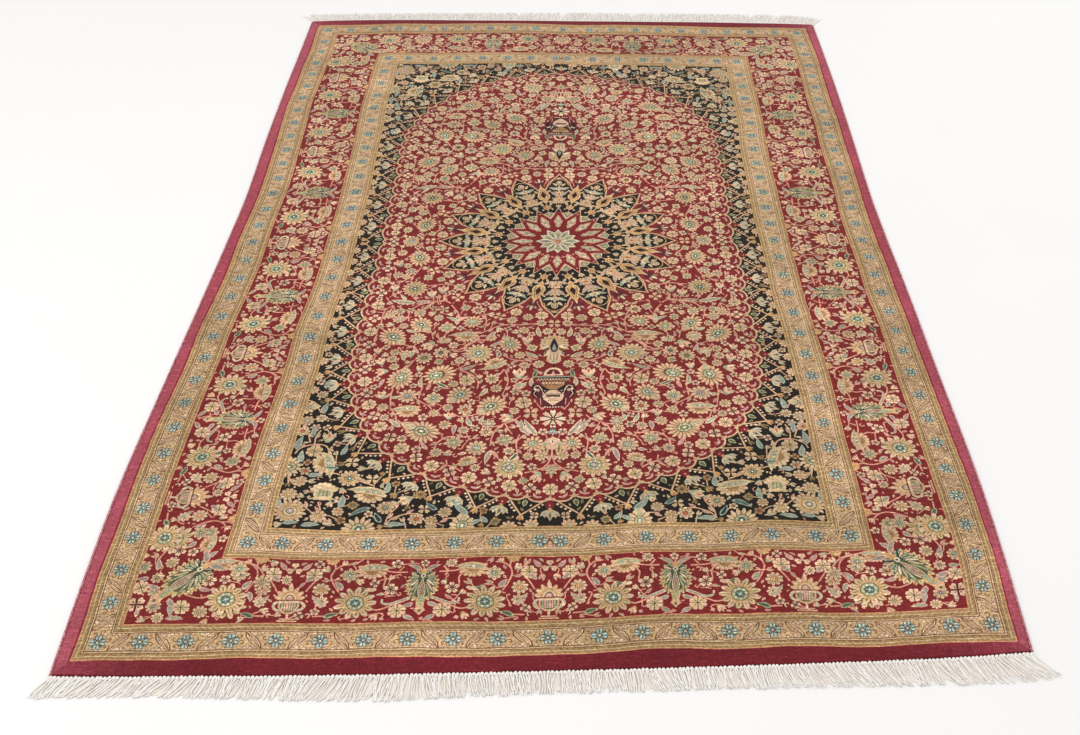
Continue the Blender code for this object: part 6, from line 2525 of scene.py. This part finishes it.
def wound_yarn(name):
    """The overcast side cords: wool wound round and round, with painted shade between the turns and painted pale
    highlights in small spots.
    """
    n = Nodes(name)
    turn = n.new("TexWave", wave_type="BANDS", bands_direction="Y", wave_profile="SIN")
    n.link(n.place((30, 385, 30)), turn.inputs["Vector"])
    turn.inputs["Scale"].default_value = 0.318
    turn.inputs["Distortion"].default_value = 1.6
    turn.inputs["Detail"].default_value = 1.0
    # painted shade and highlight: each turn is darker in its groove and lighter on its crown
    tone = n.ramp(turn.outputs["Fac"], 0.0, 1.0, 0.72, 1.08)
    lots = n.ramp(n.noise(n.place((5, 9, 5)), 1.0, 3.0, 0.6), 0.3, 0.7, 0.0, 1.0)
    base = n.mix("MIX", lots, (0.40, 0.060, 0.105, 1), (0.60, 0.17, 0.21, 1))
    # painted highlights: small pale spots where the yarn catches the light
    yarn_highlight = n.ramp(n.noise(n.place((420, 260, 420)), 1.0, 2.0, 0.6), 0.48, 0.64, 0.0, 0.80)
    base = n.mix("MIX", yarn_highlight, base, (0.86, 0.58, 0.56, 1))
    base = n.mix("MULTIPLY", 1.0, base, n.grey(tone))
    n.link(base, n.shader.inputs["Base Color"])
    n.shader.inputs["Roughness"].default_value = 0.8
    n.shader.inputs["Specular IOR Level"].default_value = 0.25
    n.shader.inputs["Sheen Weight"].default_value = 0.25
    n.shader.inputs["Sheen Roughness"].default_value = 0.5
    relief = n.new("Bump")
    relief.inputs["Strength"].default_value = 0.5
    relief.inputs["Distance"].default_value = 0.0006
    n.link(n.math("ADD", turn.outputs["Fac"], n.noise(n.place((900, 900, 900)), 1.0, 2.0, 0.6)), relief.inputs["Height"])
    n.link(relief.outputs[0], n.shader.inputs["Normal"])
    return n.material


def cotton_warp(name):
    """Fringe cotton: cream, twisted, a little greyed in soft patches."""
    n = Nodes(name)
    tone = n.new("SeparateColor")
    n.link(n.new("Attribute", attribute_name="dye", attribute_type="GEOMETRY").outputs["Color"], tone.inputs[0])
    # the strand's tone from the mesh: the bed and lower layers, painted darker as shade under the loose strands, turn a
    # greyer cream
    base = n.mix("MIX", n.ramp(tone.outputs[0], 0.05, 0.45), (0.88, 0.81, 0.73, 1), (0.98, 0.95, 0.91, 1))
    fine = n.ramp(n.noise(n.place((900, 700, 900)), 1.0, 2.0, 0.6), 0.3, 0.7, 0.86, 1.06)
    soil = n.ramp(n.noise(n.place((9, 14, 9), shift=(2.2, 0, 0)), 1.0, 4.0, 0.65), 0.52, 0.78, 0.0, 0.24)
    base = n.mix("MIX", soil, base, (0.72, 0.64, 0.52, 1))
    base = n.mix("MULTIPLY", 1.0, base, n.grey(fine))
    n.link(base, n.shader.inputs["Base Color"])
    n.shader.inputs["Roughness"].default_value = 0.82
    n.shader.inputs["Specular IOR Level"].default_value = 0.25
    n.shader.inputs["Sheen Weight"].default_value = 0.15
    n.shader.inputs["Sheen Roughness"].default_value = 0.5
    twist = n.noise(n.place((1500, 520, 900)), 1.0, 2.0, 0.6)
    relief = n.new("Bump")
    relief.inputs["Strength"].default_value = 0.35
    relief.inputs["Distance"].default_value = 0.0006
    n.link(twist, relief.inputs["Height"])
    n.link(relief.outputs[0], n.shader.inputs["Normal"])
    return n.material


# ==== stage, light, camera =====================================================================================


def stage_and_light():
    floor_look = Nodes("floor_paint")
    tint = floor_look.ramp(floor_look.noise(floor_look.place((3, 3, 3)), 1.0, 2.0, 0.5), 0.3, 0.7, 0.925, 0.935)
    floor_look.link(floor_look.grey(tint), floor_look.shader.inputs["Base Color"])
    floor_look.shader.inputs["Roughness"].default_value = 0.95
    floor_look.shader.inputs["Specular IOR Level"].default_value = 0.1
    mesh = bpy.data.meshes.new("floor")
    mesh.from_pydata([(-14, -10, 0), (14, -10, 0), (14, 18, 0), (-14, 18, 0)], [], [(0, 1, 2, 3)])
    floor = bpy.data.objects.new("floor", mesh)
    floor.location.z = -0.0002
    mesh.materials.append(floor_look.material)
    bpy.context.scene.collection.objects.link(floor)

    world = bpy.data.worlds.new("studio")
    bpy.context.scene.world = world
    world.use_nodes = True
    back = world.node_tree.nodes["Background"]
    back.inputs["Color"].default_value = (1.0, 0.985, 0.975, 1)
    back.inputs["Strength"].default_value = WORLD

    def soft_box(name, place, aim, size, watts, colour=(1, 1, 1)):
        light = bpy.data.lights.new(name, "AREA")
        light.shape = "RECTANGLE"
        light.size, light.size_y = size
        light.energy = watts
        light.color = colour
        obj = bpy.data.objects.new(name, light)
        obj.location = place
        obj.rotation_euler = (Vector(aim) - Vector(place)).to_track_quat("-Z", "Y").to_euler()
        bpy.context.scene.collection.objects.link(obj)

    soft_box("key_light", (-2.6, -1.6, 3.6), (0, 0, 0), (2.6, 2.6), KEY, (1.0, 0.985, 0.965))
    soft_box("fill_light", (2.8, 1.8, 3.2), (0, 0, 0), (2.6, 2.6), FILL, (0.985, 0.99, 1.0))
    view = bpy.context.scene.view_settings
    view.view_transform = "Standard"
    view.look = "None"
    view.exposure = 0.0
    view.gamma = 1.0


def camera():
    data = bpy.data.cameras.new("camera")
    data.sensor_fit = "HORIZONTAL"
    data.sensor_width = 36.0
    data.lens = 39.60
    data.shift_x = -0.0964
    data.shift_y = 0.0028
    data.clip_start = 0.05
    data.clip_end = 60
    data.dof.use_dof = False
    obj = bpy.data.objects.new("camera", data)
    right = Vector((0.99891403, -0.04091961, 0.02227861))
    down = Vector((-0.00962553, -0.64910344, -0.76063925))
    ahead = Vector((0.04558619, 0.75959878, -0.64879241))
    m = Matrix((right, -down, -ahead)).transposed().to_4x4()
    m.translation = (0.05506, -2.10364, 1.42813)
    obj.matrix_world = m
    bpy.context.scene.collection.objects.link(obj)
    bpy.context.scene.camera = obj


WORLD, KEY, FILL = 0.80, 55.0, 30.0


def main():
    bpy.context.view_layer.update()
    camera()
    stage_and_light()
    pile_look = wool("pile_wool")
    back_look = knotted_underside("back_wool")
    cord_look = wound_yarn("overcast_yarn")
    warp_look = cotton_warp("warp_cotton")

    art = Art()
    draw_all(art)
    art.home()
    pile = knotted_pile(pile_look, art.shapes)
    back = knotted_back(back_look, art.shapes)
    cords = [overcast_cord("overcast_%s_%s" % (side, end), side, end, cord_look) for side in ("left", "right") for end in ("near", "far")]
    rng = np.random.default_rng(7)
    fringes = [
        warp_fringe("warps_near", "near", NEAR_FRINGE, warp_look, rng),
        warp_fringe("warps_far", "far", FAR_FRINGE, warp_look, rng),
    ]
    for obj in pile + back:
        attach(obj, "root")
        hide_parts("pile_body")
    for obj in cords:
        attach(obj, "root")
        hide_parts("selvedge_left" if "left" in obj.name else "selvedge_right")
    for obj, node in zip(fringes, ("fringe_near", "fringe_far")):
        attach(obj, "root")
        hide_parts(node)
    for obj in pile + back + cords + fringes:
        print("triangles", obj.name, sum(len(p.vertices) - 2 for p in obj.data.polygons))
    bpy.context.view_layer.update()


main()
